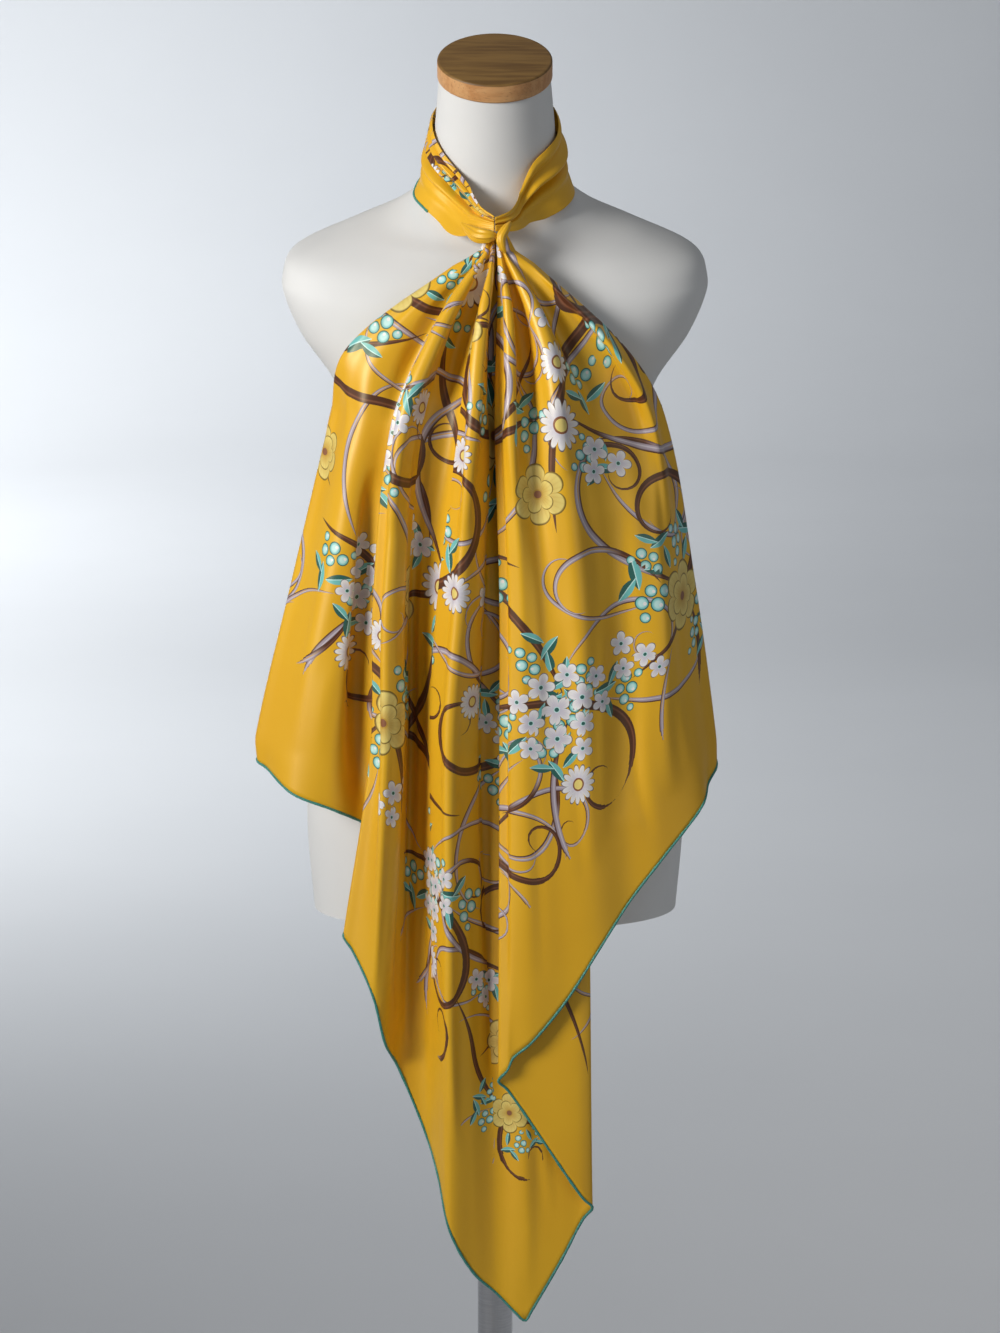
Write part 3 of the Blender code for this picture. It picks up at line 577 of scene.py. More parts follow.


# %% [markdown]
# Flowers sit in four kinds: large blooms, daisies, small blossoms and sprigs of berries.
# They could be scattered at random, but then they crowd in places. Small bouquets are
# listed instead, and each spray carries one, turned and mirrored with its scrolls.

# %% Flowers of the print
# for each bouquet and kind of flower: x, y, radius in mm and turn in degrees from the
# middle of a spray
BOUQUETS = {
    "bloom": {
        "bloom": ((0, 0, 33, 10),),
        "sprig": ((44, -26, 33, 20), (30, -52, 28, 75), (-44, 26, 33, 200), (-30, 50, 27, 130),
                  (12, 50, 28, 90)),
        "daisy": ((70, 44, 17, 0),),
        "blossom": ((-60, -36, 13, 40), (-80, -20, 12, 80), (-46, -54, 12, 10),
                    (-82, -44, 11, 10)),
    },
    "cluster": {
        "blossom": ((0, 0, 15, 0), (24, 7, 14, 50), (-18, 19, 14, 20), (8, 26, 13, 70),
                    (-24, -8, 13, 100), (4, -25, 13.5, 30), (28, -17, 12, 10), (-8, 43, 12, 0),
                    (-40, 8, 11, 35), (-20, -30, 12, 60), (34, 27, 11, 20), (46, 4, 11, 80)),
        "sprig": ((0, 0, 30, 0), (-30, 30, 27, 150), (28, -6, 27, 60), (-56, -14, 30, 150),
                  (50, 34, 30, 40), (22, -52, 28, 260)),
        "daisy": ((-34, 64, 19, 30),),
    },
    "daisies": {
        "daisy": ((0, 0, 23, 0), (44, 26, 18, 15)),
        "blossom": ((-38, 16, 13, 60), (-60, 26, 12, 15), (-52, 2, 12, 30), (80, 42, 12, 35)),
        "sprig": ((26, -38, 30, 300), (-44, 10, 26, 120), (8, 48, 28, 60)),
        "bloom": ((-38, -54, 27, 35),),
    },
    "scrolls": {
        "blossom": ((0, 0, 15, 20), (-22, 12, 13, 50)),
    },
}
# share of a flower's radius by which it keeps off the border
BORDER_ROOM = 0.8
flower_layers = {kind: [] for kind in ("bloom", "daisy", "blossom", "sprig")}
for number, spray in enumerate(SPRAYS):
    for kind, flowers in BOUQUETS[spray[-1]].items():
        for x, y, radius, turn in flowers:
            place = placed(np.array([x, y], float), spray)
            size = radius * spray[3] * MM
            if edge_distance(place) < BORDER + size * BORDER_ROOM:
                continue
            angle = math.radians(turn + spray[2])
            # some flowers are printed lighter than others
            tone = 0.55 + 0.45 * math.cos(2.4 * number + x)
            flower_layers[kind].append((*place, size, angle, tone, spray[4]))
print("flowers:", {kind: len(made) for kind, made in flower_layers.items()})


# %% [markdown]
# The drawing reaches the cloth through attributes on the corners of its faces. A face
# belongs to the nearest scroll of each layer, and its corners hold the distance from
# that scroll's middle, the way along it and its half width. For flowers they hold the
# place inside the flower. The shader then cuts clean edges out of these numbers.

# %% Attributes that carry the print
# how far a face may lie from a scroll or a flower that it still belongs to, and values
# that stand for no scroll and no flower
SCROLL_REACH = 0.02
NO_SCROLL = (0.1, -0.01)
FLOWER_REACH = 0.008
NO_FLOWER = 9.0
# a straight run counts as a very wide bend
LEAST_BEND = 1e-3


def nearest(points, targets):
    """Index of the nearest target to each point, and its distance."""
    tree = KDTree(len(targets))
    for i, target in enumerate(targets):
        tree.insert((*target, 0.0), i)
    tree.balance()
    found = [tree.find((*point, 0.0)) for point in points]
    return np.array([f[1] for f in found]), np.array([f[2] for f in found])


def scroll_attribute(corners, samples):
    """Distance, run and half width at the corners of each face, for one layer."""
    index, distance = nearest(corners.mean(axis=1), samples[:, :2])
    place, way, bend, run, width, slope = np.split(samples[index], (2, 4, 5, 6, 7), axis=1)
    off = corners - place[:, None]
    along = (off * way[:, None]).sum(axis=-1)
    side_way = np.stack([-way[:, 1], way[:, 0]], axis=-1)
    bend = np.where(abs(bend) < LEAST_BEND, LEAST_BEND, bend)
    centre = place + side_way / bend
    reach = np.linalg.norm(corners - centre[:, None], axis=-1)
    across = np.sign(bend) * (1 / abs(bend) - reach)
    width = width + slope * along
    far = (distance > SCROLL_REACH)[:, None]
    return np.stack([np.where(far, NO_SCROLL[0], across), run + along,
                     np.where(far, NO_SCROLL[1], width)], axis=-1)


def flower_attribute(corners, flowers):
    """Place inside the nearest flower in radii, and its tone, or nought outside."""
    flowers = np.array(flowers)
    index, distance = nearest(corners.mean(axis=1), flowers[:, :2])
    place, size, angle, tone, mirror = np.split(flowers[index], (2, 3, 4, 5), axis=1)
    off = (corners - place[:, None]) / size[:, None]
    cosine, sine = np.cos(angle), np.sin(angle)
    x = (off[..., 0] * cosine + off[..., 1] * sine) * mirror
    y = off[..., 1] * cosine - off[..., 0] * sine
    near = np.broadcast_to(distance[:, None] < size * 1.15 + FLOWER_REACH, x.shape)
    return np.stack([np.where(near, x, NO_FLOWER), np.where(near, y, NO_FLOWER),
                     np.where(near, tone, 0.0)], axis=-1)


def print_attributes(corner_flat):
    """Every print attribute for faces whose corners have these flat places."""
    corners = corner_flat.reshape(-1, 4, 2)
    made = {f"scroll_{layer}": scroll_attribute(corners, samples)
            for layer, samples in enumerate(scroll_layers)}
    for kind, flowers in flower_layers.items():
        made[kind] = flower_attribute(corners, flowers)
    return made


fall_print = print_attributes(fall_flat)
print("print attributes:", ", ".join(fall_print))


# %% [markdown]
# Shader maths reads best as plain arithmetic. This small class wraps a socket, so that
# a sum or a product adds its Math node by itself. One call adds any other node, in a
# material or in Geometry Nodes. A finish collects the nodes of one material, and
# colours go through its mix.

# %% Nodes and arithmetic
class Nodes:
    """A tree that is filled by one kind of call."""

    tree = None

    def node(self, kind, settings=None, values=None):
        """Add a node, set its settings first and then its sockets' values or links."""
        made = self.tree.nodes.new(kind)
        for key, value in (settings or {}).items():
            setattr(made, key, value)
        for key, value in (values or {}).items():
            if isinstance(value, Term):
                value = value.socket
            elif isinstance(value, bpy.types.Node):
                value = value.outputs[0]
            if isinstance(value, bpy.types.NodeSocket):
                self.tree.links.new(value, made.inputs[key])
            else:
                made.inputs[key].default_value = value
        return made


class Term:
    """A number carried by a socket; arithmetic on it adds Math nodes."""

    def __init__(self, finish, node, output=0):
        self.finish = finish
        self.socket = node.outputs[output]

    def math(self, operation, *others):
        values = dict(enumerate((self, *others)))
        return Term(self.finish, self.finish.node("ShaderNodeMath",
                                                  {"operation": operation}, values))

    def __abs__(self):
        return self.math("ABSOLUTE")

    def soft_step(self, low, high):
        """0 below low, 1 above high, and smooth between."""
        settings = {"interpolation_type": "SMOOTHSTEP"}
        values = {"Value": self, "From Min": low, "From Max": high}
        return Term(self.finish, self.finish.node("ShaderNodeMapRange", settings, values))


def arithmetic(operation, turned_round):
    """A method of Term for one operator, or for the same with its sides exchanged."""
    def method(term, other):
        first, second = (other, term) if turned_round else (term, other)
        node = term.finish.node("ShaderNodeMath", {"operation": operation},
                                {0: first, 1: second})
        return Term(term.finish, node)
    return method


for sign, operation in (("add", "ADD"), ("sub", "SUBTRACT"), ("mul", "MULTIPLY"),
                        ("truediv", "DIVIDE"), ("pow", "POWER"), ("lt", "LESS_THAN"),
                        ("gt", "GREATER_THAN")):
    setattr(Term, f"__{sign}__", arithmetic(operation, False))
    if sign in ("add", "sub", "mul", "truediv"):
        setattr(Term, f"__r{sign}__", arithmetic(operation, True))


# %% A small language for materials
class Finish(Nodes):
    """One material, built node by node."""

    def __init__(self, name):
        self.material = bpy.data.materials.new(name)
        self.material.use_nodes = True
        self.tree = self.material.node_tree
        self.tree.nodes.clear()
        self.object_place = self.node("ShaderNodeTexCoord").outputs["Object"]

    def parts(self, vector):
        """The three numbers of a vector socket."""
        split = self.node("ShaderNodeSeparateXYZ", values={0: vector})
        return [Term(self, split, k) for k in range(3)]

    def attribute(self, name):
        """The three numbers of a named attribute of the mesh."""
        settings = {"attribute_name": name}
        return self.parts(self.node("ShaderNodeAttribute", settings).outputs["Vector"])

    def mix(self, factor, low, high):
        """Colour from low to high."""
        low, high = [(*c, 1.0) if isinstance(c, tuple) else c for c in (low, high)]
        values = {0: factor, 6: low, 7: high}
        return self.node("ShaderNodeMix", {"data_type": "RGBA"}, values).outputs[2]

    def noise(self, scale, detail=2.0, rough=0.5, vector=None, stretch=None):
        """A noise value about 0.5 in object space, stretched along an axis if asked."""
        place = vector or self.object_place
        if stretch:
            place = self.node("ShaderNodeMapping", values={0: place, "Scale": stretch})
        values = {"Vector": place, "Scale": scale, "Detail": detail, "Roughness": rough}
        return Term(self, self.node("ShaderNodeTexNoise", values=values))

    def bump(self, height, strength, distance):
        """A normal that leans with a height."""
        values = {"Height": height, "Strength": strength, "Distance": distance}
        return self.node("ShaderNodeBump", values=values)

    def done(self, colour, rough, normal, constants=None):
        """Finish with one principled shader."""
        values = {**(constants or {}), "Base Color": colour, "Roughness": rough,
                  "Normal": normal}
        shader = self.node("ShaderNodeBsdfPrincipled", values=values)
        self.node("ShaderNodeOutputMaterial", values={0: shader})
        return self.material


def plain_finish(name, tones, patches, band, rough, relief, grain=None, constants=None):
    """Two tones that change in soft patches, with a fine relief from a second noise."""
    finish = Finish(name)
    patch = finish.noise(*patches)
    fine = finish.noise(*grain) if grain else patch
    return finish.done(finish.mix(patch.soft_step(*band), *tones),
                       rough[0] + patch * rough[1], finish.bump(fine, *relief), constants)


# %% [markdown]
# Printed silk twill is smooth and quietly glossy, with a fine diagonal rib. The gold
# ground is one dye, so its colour hardly changes; the folds give it light and shade.
# The inks lie in the cloth, so they have the same gloss. Each scroll is shaded across
# its width like a turned ribbon: a dark rim, a light streak, a brown underside.

# %% Dyes and inks
GOLD = (0.770, 0.420, 0.0110)
GOLD_DEEP = (0.690, 0.345, 0.0060)
SHINE = (1.0, 0.88, 0.62, 1.0)
LILAC = (0.380, 0.310, 0.360)
LILAC_PALE = (0.640, 0.580, 0.620)
BROWN = (0.080, 0.0210, 0.0100)
BROWN_LIGHT = (0.240, 0.085, 0.040)
PETAL_WHITE = (0.830, 0.810, 0.780)
PETAL_SHADE = (0.550, 0.510, 0.600)
BLOOM_YELLOW = (0.780, 0.620, 0.180)
BLOOM_SHADE = (0.520, 0.300, 0.040)
TURQUOISE = (0.150, 0.500, 0.480)
TURQUOISE_PALE = (0.520, 0.800, 0.760)
TEAL = (0.012, 0.110, 0.095)
INK_GREY = (0.110, 0.095, 0.120)
INK_OLIVE = (0.190, 0.115, 0.012)
print("ground of the silk:", GOLD)


# %% Scrolls on the silk
# the finest width that is painted, and how quickly the colour and the strands of a
# scroll change along its run, in radians to a metre
FINEST = 0.0002
COLOUR_WAVE = 21
STRAND_WAVE = 33


def paint_scroll(finish, colour, layer):
    """Lay one layer of scrolls over a colour; the run also tells a scroll's style."""
    across, run, width = finish.attribute(f"scroll_{layer}")
    place = across / width.math("MAXIMUM", FINEST)
    wave = (run * COLOUR_WAVE).math("SINE").soft_step(-0.15, 0.35)
    brown = (run > 0.5 * STYLE_STEP) * (1 - (run > 1.5 * STYLE_STEP) * wave)
    body = finish.mix(brown, LILAC, BROWN)
    ink = finish.mix(place.soft_step(-0.80, -0.30), BROWN, body)
    light = (1 - abs(place - 0.30) / 0.30).math("MAXIMUM", 0.0)
    ink = finish.mix(light * 0.85, ink, finish.mix(brown, LILAC_PALE, BROWN_LIGHT))
    ink = finish.mix(abs(place).soft_step(0.80, 0.98) * 0.8, ink, BROWN)
    strands = (run * STRAND_WAVE + layer).math("SINE").soft_step(-0.1, 0.2) * (1 - brown)
    ink = finish.mix((abs(place + 0.12) < 0.13) * strands, ink, GOLD_DEEP)
    inside = (abs(across) < width) * (width > 0.0)
    return finish.mix(inside, colour, ink)


# %% [markdown]
# A flower is a few waves round its middle: their number gives the petals, and a power
# makes the lobes wider or narrower. A sprig is a handful of round berries and pointed
# leaves in fixed places.

# %% Flowers on the silk
# kind, petals, shape of a lobe (notch, width and turn), colours (light, dark, outline,
# centre and ring), size of the centre, and how many times smaller it is drawn
WHITE_PETALS = (PETAL_WHITE, PETAL_SHADE, INK_GREY)
YELLOW_PETALS = (BLOOM_YELLOW, BLOOM_SHADE, INK_OLIVE, BROWN_LIGHT, BLOOM_SHADE)
ROUND_FLOWERS = (
    ("blossom", 5, (0.34, 0.55, 0.0), (*WHITE_PETALS, TEAL, TURQUOISE_PALE), 0.13, 1.0),
    ("daisy", 15, (0.50, 0.45, 0.0), (*WHITE_PETALS, BLOOM_YELLOW, BROWN_LIGHT), 0.24, 1.0),
    ("bloom", 6, (0.62, 0.40, 0.0), YELLOW_PETALS, 0.12, 1.0),
    ("bloom", 5, (0.50, 0.42, 0.4), YELLOW_PETALS, 0.20, 1.6),
)
# x, y and radius of the berries and x, y, length and heading of the leaves of a sprig
BERRIES = ((0.10, 0.56, 0.20), (-0.28, 0.38, 0.18), (0.44, 0.30, 0.19),
           (0.06, 0.16, 0.17), (-0.54, 0.66, 0.13), (0.58, 0.68, 0.15))
LEAVES = ((0.15, -0.45, 0.46, 70), (-0.45, -0.20, 0.42, 150), (0.58, -0.20, 0.40, 20))


def distance_from(x, y):
    """Distance from the origin, for two terms."""
    return (x * x + y * y).math("SQRT")


def paint_flower(finish, colour, name, petals, shape, colours, heart, grow):
    """Lay round flowers of one kind over a colour."""
    light, dark, outline, centre, ring = colours
    notch, breadth, turn = shape
    x, y, tone = finish.attribute(name)
    radius = distance_from(x, y) * grow
    angle = y.math("ARCTAN2", x)
    lobe = abs(((angle + turn) * (petals / 2)).math("COSINE")) ** breadth
    depth = radius / (notch + (1 - notch) * lobe)
    vein = abs((angle * (petals * 2.5)).math("SINE")) ** 6.0
    shade = (1 - depth).soft_step(0.0, 0.75) * 0.7 + vein * 0.25 * (1 - lobe * 0.5)
    shade = shade + (1 - lobe).soft_step(0.55, 1.0) * 0.6 + (1 - tone) * 0.15
    petal = finish.mix(shade.math("MINIMUM", 1.0), light, dark)
    petal = finish.mix(depth.soft_step(0.91, 0.97), petal, outline)
    petal = finish.mix(radius < heart * 1.35, petal, ring)
    petal = finish.mix(radius < heart, petal, centre)
    return finish.mix((depth < 1.0) * (tone > 0.01), colour, petal)


def paint_sprig(finish, colour):
    """Lay sprigs of round berries and pointed leaves over a colour."""
    x, y, tone = finish.attribute("sprig")
    present = (tone > 0.01) * (distance_from(x, y) < 1.25)
    for leaf_x, leaf_y, length, heading in LEAVES:
        cosine, sine = math.cos(math.radians(heading)), math.sin(math.radians(heading))
        along = ((x - leaf_x) * cosine + (y - leaf_y) * sine) / length
        aside = ((y - leaf_y) * cosine - (x - leaf_x) * sine) / length
        body = (1 - along * along) * 0.36 - abs(aside)
        leaf = finish.mix(abs(aside) < 0.03, finish.mix(aside > 0.0, TEAL, TURQUOISE),
                          TURQUOISE_PALE)
        colour = finish.mix((body > 0.0) * present, colour, leaf)
    for berry_x, berry_y, size in BERRIES:
        far = distance_from(x - berry_x, y - berry_y) / size
        glint = distance_from(x - berry_x + size * 0.3, y - berry_y - size * 0.3) / size
        berry = finish.mix(far.soft_step(0.35, 0.85), TURQUOISE_PALE, TURQUOISE)
        berry = finish.mix(glint < 0.26, berry, PETAL_WHITE)
        berry = finish.mix(far > 0.84, berry, TEAL)
        colour = finish.mix((far < 1.0) * present, colour, berry)
    return colour


# %% Printed silk
# distance between two ribs of the twill
RIB_PITCH = 0.0011


def silk(name, printed):
    """Gold silk twill, with the print where the piece carries its attributes."""
    finish = Finish(name)
    cloudy = finish.noise(7.0, 3.0)
    colour = finish.mix(cloudy.soft_step(0.35, 0.7) * 0.5, GOLD, GOLD_DEEP)
    if printed:
        for layer in reversed(range(LAYERS)):
            colour = paint_scroll(finish, colour, layer)
        colour = paint_sprig(finish, colour)
        for flower in ROUND_FLOWERS:
            colour = paint_flower(finish, colour, *flower)
    u, v, _ = finish.parts(finish.node("ShaderNodeUVMap", {"uv_map": "flat"}))
    rib = ((u + v) * (2 * math.pi / RIB_PITCH)).math("SINE")
    slub = finish.noise(900.0, 2.0, 0.6, stretch=(1.0, 1.0, 0.12))
    normal = finish.bump(rib * 0.35 + slub * 0.8, 0.10, 0.0003)
    return finish.done(colour, 0.38 + cloudy * 0.06 + slub * 0.03, normal,
                       {"Sheen Weight": 0.12, "Sheen Roughness": 0.4, "Sheen Tint": SHINE,
                        "Specular IOR Level": 0.85, "Specular Tint": SHINE})


printed_silk = silk("printed_silk", True)
plain_silk = silk("plain_silk", False)
print("silk nodes:", len(printed_silk.node_tree.nodes))


# %% [markdown]
# A sheet needs two faces and an edge, because light and the later mesh file both see
# its thickness. Solidify would do it, but the print attributes must reach both sides
# unchanged, so the shell is built straight from the grid.

# %% Objects from points
def added(name, data):
    """A new object at the origin for a mesh, a light or a camera."""
    piece = bpy.data.objects.new(name, data)
    bpy.context.scene.collection.objects.link(piece)
    return piece


def smooth_piece(name, points, faces, material):
    """A smooth object from points and faces."""
    mesh = bpy.data.meshes.new(name)
    mesh.from_pydata([tuple(map(float, p)) for p in points], [], faces)
    mesh.materials.append(material)
    mesh.shade_smooth()
    return added(name, mesh)


# %% Thin cloth from a grid
SILK_WALL = 0.0004


def cloth_shell(name, grid, material, flat, corner_data):
    """Closed thin sheet on a grid of points, with data on its face corners."""
    rows, columns = grid.shape[:2]
    half = grid_normals(grid) * SILK_WALL / 2
    points = np.concatenate([(grid + half).reshape(-1, 3), (grid - half).reshape(-1, 3)])
    number = np.arange(rows * columns).reshape(rows, columns)
    front = np.stack(face_corners(number), axis=-1).reshape(-1, 4)
    back = front[:, (0, 3, 2, 1)] + rows * columns
    rim = np.concatenate([number[0], number[1:, -1], number[-1, -2::-1], number[-2:0:-1, 0]])
    after = np.roll(rim, -1)
    edge = np.stack([rim, after, after + rows * columns, rim + rows * columns], axis=-1)
    faces = np.concatenate([front, back, edge])
    piece = smooth_piece(name, points, faces.tolist(), material)

    def spread(values):
        values = values.reshape(-1, 4, values.shape[-1])
        rest = np.zeros((len(edge), *values.shape[1:]))
        whole = np.concatenate([values, values[:, (0, 3, 2, 1)], rest])
        return whole.ravel().astype(np.float32)

    for key, values in corner_data.items():
        layer = piece.data.attributes.new(key, "FLOAT_VECTOR", "CORNER")
        layer.data.foreach_set("vector", spread(values))
    piece.data.uv_layers.new(name="flat").uv.foreach_set("vector", spread(flat))
    print(f"{name}: {2 * len(faces)} triangles")
    return piece


fall = cloth_shell("silk_fall", fall_grid, printed_silk, fall_flat, fall_print)


# %% [markdown]
# The dress form is a stack of sections, each a flattened round with its own tilt. They
# are smoothed upwards into one shell, which replaces the plainer solid. The same
# function later tells the neck silk where the skin is.

# %% Dress form sections
FORM_SECTIONS = np.array((
    # height, centre back, tilt, half width, reach front, reach back, squareness
    (690, 2, 0, 164, 98, 110, 2.3),
    (780, 2, 0, 170, 104, 116, 2.3),
    (860, 0, 0, 159, 98, 106, 2.3),
    (925, 0, 0, 134, 90, 88, 2.2),
    (985, 0, 0, 116, 84, 76, 2.2),
    (1055, 0, 0, 122, 92, 86, 2.2),
    (1125, 0, 0, 132, 103, 100, 2.3),
    (1170, 0, 0, 142, 96, 108, 2.4),
    (1213, 3, 1, 171, 90, 108, 2.6),
    (1247, 6, 4, 186, 86, 106, 2.8),
    (1266, 8, 6, 188, 82, 99, 2.8),
    (1285, 10, 9, 178, 77, 90, 2.6),
    (1304, 13, 13, 133, 70, 77, 2.4),
    (1320, 16, 18, 92, 63, 66, 2.2),
    (1342, 18, 22, 63, 58, 59, 2.0),
    (1366, 14, 23, 56, 55, 55, 2.0),
    (1400, 3, 22, 52.5, 52.5, 52.5, 2.0),
    (1440, -13, 22, 49, 49, 49, 2.0),
))
LAST_SECTION = len(FORM_SECTIONS) - 1
BUST_SIDE = 0.072
BUST_HEIGHT = 1.128
BUST_SWELL = 0.0355
BUST_SPREAD = 0.050
# the shell lies a little inside the solid
SHELL_GAP = 0.0004
# section where the search for the skin starts, and how often it is halved
BUST_ROW = 6.0
HALVINGS = 40


def form_points(levels, angles):
    """Points of the form's surface; levels count sections, angles start in front."""
    i = np.clip(levels.astype(int), 0, LAST_SECTION - 1)
    share = (levels - i)[..., None]
    p0, p1, p2, p3 = [FORM_SECTIONS[np.clip(i + k, 0, LAST_SECTION)] for k in (-1, 0, 1, 2)]
    line = 2 * p1 + (p2 - p0) * share
    curve = (2 * p0 - 5 * p1 + 4 * p2 - p3) * share ** 2
    bend = (3 * p1 - p0 - 3 * p2 + p3) * share ** 3
    section = 0.5 * (line + curve + bend)
    height, back, tilt, half, front, rear, square = np.moveaxis(section, -1, 0)
    side, fore = np.sin(angles), np.cos(angles)
    x = -half * np.sign(side) * abs(side) ** (2 / square) * MM
    reach = np.where(fore > 0, front, rear) - SHELL_GAP / MM
    out = reach * np.sign(fore) * abs(fore) ** (2 / square) * MM
    lean = np.radians(tilt)
    y = back * MM - out * np.cos(lean)
    z = height * MM - out * np.sin(lean)
    for side_x in (-BUST_SIDE, BUST_SIDE):
        far = ((x - side_x) / BUST_SPREAD) ** 2 + ((z - BUST_HEIGHT) / BUST_SPREAD) ** 2
        y = y - BUST_SWELL * np.maximum(fore, 0) * np.exp(-far)
    return np.stack([x, y, z], axis=-1)


def skin_at(angles, heights):
    """Points of the upper form at angles and heights, found by halving."""
    low = np.full(angles.shape, BUST_ROW)
    high = np.full(angles.shape, float(LAST_SECTION))
    for _ in range(HALVINGS):
        middle = (low + high) / 2
        below = form_points(middle, angles)[..., 2] < heights
        low = np.where(below, middle, low)
        high = np.where(below, high, middle)
    return form_points(low, angles)


# %% Matt white shell
SHELL_COLUMNS = 144
SHELL_ROWS = 119


def ringed_piece(name, rings, material):
    """A closed smooth piece from rings of points that have as many points each."""
    number = np.arange(rings.shape[0] * rings.shape[1]).reshape(rings.shape[:2])
    beside = np.roll(number, -1, axis=1)
    faces = np.stack([number[:-1], beside[:-1], beside[1:], number[1:]], axis=-1)
    ends = [number[0, ::-1].tolist(), number[-1].tolist()]
    return smooth_piece(name, rings.reshape(-1, 3), faces.reshape(-1, 4).tolist() + ends,
                        material)


def turns(count):
    """Angles of so many even steps round."""
    return np.arange(count) * 2 * np.pi / count


# matt white plastic with a faint cast grain and a little dust in its colour
matt_shell = plain_finish("matt_shell", ((0.72, 0.715, 0.70), (0.67, 0.665, 0.65)),
                          (5.0, 4.0, 0.6), (0.3, 0.75), (0.58, 0.1), (0.12, 0.0004),
                          (650.0, 3.0, 0.6), {"Specular IOR Level": 0.35})
levels, angles = np.meshgrid(np.linspace(0, LAST_SECTION, SHELL_ROWS + 1),
                             turns(SHELL_COLUMNS), indexing="ij")
torso = ringed_piece("torso_shell", form_points(levels, angles)[:, ::-1], matt_shell)
torso.data.set_sharp_from_angle(angle=math.radians(50))
print("torso shell:", len(torso.data.polygons), "faces")


# %% [markdown]
# The neck cap is a disc of wood glued on the cut neck. Its top shows long grain and is
# coloured darker than its turned side. Both come from one wood: a noise stretched along
# one direction, and the height in the disc decides which tone is seen. The disc is
# turned as on a lathe, from a profile with two rounded rims.

# %% Wood of the neck cap
CAP_RADIUS = 0.0505
CAP_EDGE = 0.0022
CAP_TILT = math.radians(22)
CAP_CENTRE = (0.0, -0.013, 1.440)
CAP_SEGMENTS = 96
CAP_BOTTOM = 0.0003
CAP_TOP = CAP_BOTTOM + 0.018
# depths below the top between which the side's tone gives way to the top's
TONE_CHANGE = (0.0021, 0.0012)


def cap_wood():
    """Grained wood, darker on top than on its turned side."""
    finish = Finish("cap_wood")
    moved = finish.node("ShaderNodeVectorMath", {"operation": "SUBTRACT"},
                        {0: finish.object_place, 1: CAP_CENTRE})
    turned = finish.node("ShaderNodeMapping",
                         values={0: moved, "Rotation": (-CAP_TILT, 0.0, 0.0)})
    _, _, height = finish.parts(turned)
    top = height.soft_step(*[CAP_TOP - depth for depth in TONE_CHANGE])
    grain = finish.noise(90.0, 4.0, 0.6, turned, (0.14, 1.6, 1.0))
    fibre = finish.noise(700.0, 2.0, 0.5, turned, (0.06, 1.5, 1.0))
    lines = grain.soft_step(0.38, 0.68)
    light = finish.mix(lines, (0.62, 0.335, 0.140), (0.50, 0.235, 0.085))
    dark = finish.mix(lines, (0.225, 0.122, 0.030), (0.135, 0.067, 0.015))
    colour = finish.mix(top, light, dark)
    colour = finish.mix(fibre.soft_step(0.55, 0.75) * 0.35, colour, (0.10, 0.045, 0.02))
    return finish.done(colour, 0.42 + grain * 0.12,
                       finish.bump(grain * 0.6 + fibre, 0.12, 0.0004),
                       {"Specular IOR Level": 0.45})


# %% Turned neck cap
def rounded_profile(radius, bottom, top, edge, steps=5):
    """Radii and heights of a disc whose two rims are rounded, from the bottom up."""
    arc = np.arange(steps + 1) * math.pi / 2 / steps
    inward, along = edge * (1 - np.cos(arc)), edge * (1 - np.sin(arc))
    return (np.concatenate([radius - inward[::-1], radius - inward]),
            np.concatenate([bottom + along[::-1], top - along]))


radius, height = [side[:, None] for side in rounded_profile(CAP_RADIUS, CAP_BOTTOM,
                                                            CAP_TOP, CAP_EDGE)]
turn = turns(CAP_SEGMENTS)
depth = radius * np.sin(turn)
cap_rings = np.stack([radius * np.cos(turn),
                      depth * math.cos(CAP_TILT) - height * math.sin(CAP_TILT),
                      depth * math.sin(CAP_TILT) + height * math.cos(CAP_TILT)], axis=-1)
cap = ringed_piece("wooden_cap", cap_rings + CAP_CENTRE, cap_wood())
cap.data.set_sharp_from_angle(angle=math.radians(40))
print("wooden cap:", len(cap.data.polygons), "faces")


# %% [markdown]
# Two stretches of silk go round the neck. Each is a band of cloth pulled tight, so its
# folds run along it and crowd together at the knot. Their places at the nape and at the
# knot are rows of a table, and each fold has its own width and height.

# %% Neck stretches
# centre and radius of the loop round the neck; each band ends this far from the nape
LOOP_CENTRE_Y = 0.005
LOOP_RADIUS = 0.056
NAPE_GAP = 0.0004
# degrees round from the front, lower and upper edge heights, lower and upper lifts
LEFT_STRETCH = np.array((
    (0.15, 1314.3, 1327, 52.5, 50.5), (6, 1312.5, 1334, 43, 41), (10, 1308, 1340, 36, 29),
    (18, 1308, 1350, 23, 14),
    (33, 1316, 1361, 12.5, 5), (52, 1326, 1375, 11, 3), (80, 1337, 1394, 8, 2.6),
    (110, 1356, 1411, 3, 2.6), (145, 1368, 1421, 3, 2.6), (180, 1373, 1424, 3, 2.6),
))
RIGHT_STRETCH = np.array((
    (0.15, 1314.3, 1326, 52.5, 50.5), (6, 1313, 1330, 43, 41), (10, 1314, 1334, 36, 30),
    (18, 1317, 1345, 20, 12),
    (33, 1319, 1366, 10, 4), (52, 1326, 1378, 9.5, 2.4), (80, 1338, 1391, 7.5, 2.2),
    (110, 1356, 1410, 3, 2.6), (145, 1368, 1421, 3, 2.6), (180, 1373, 1424, 3, 2.6),
))
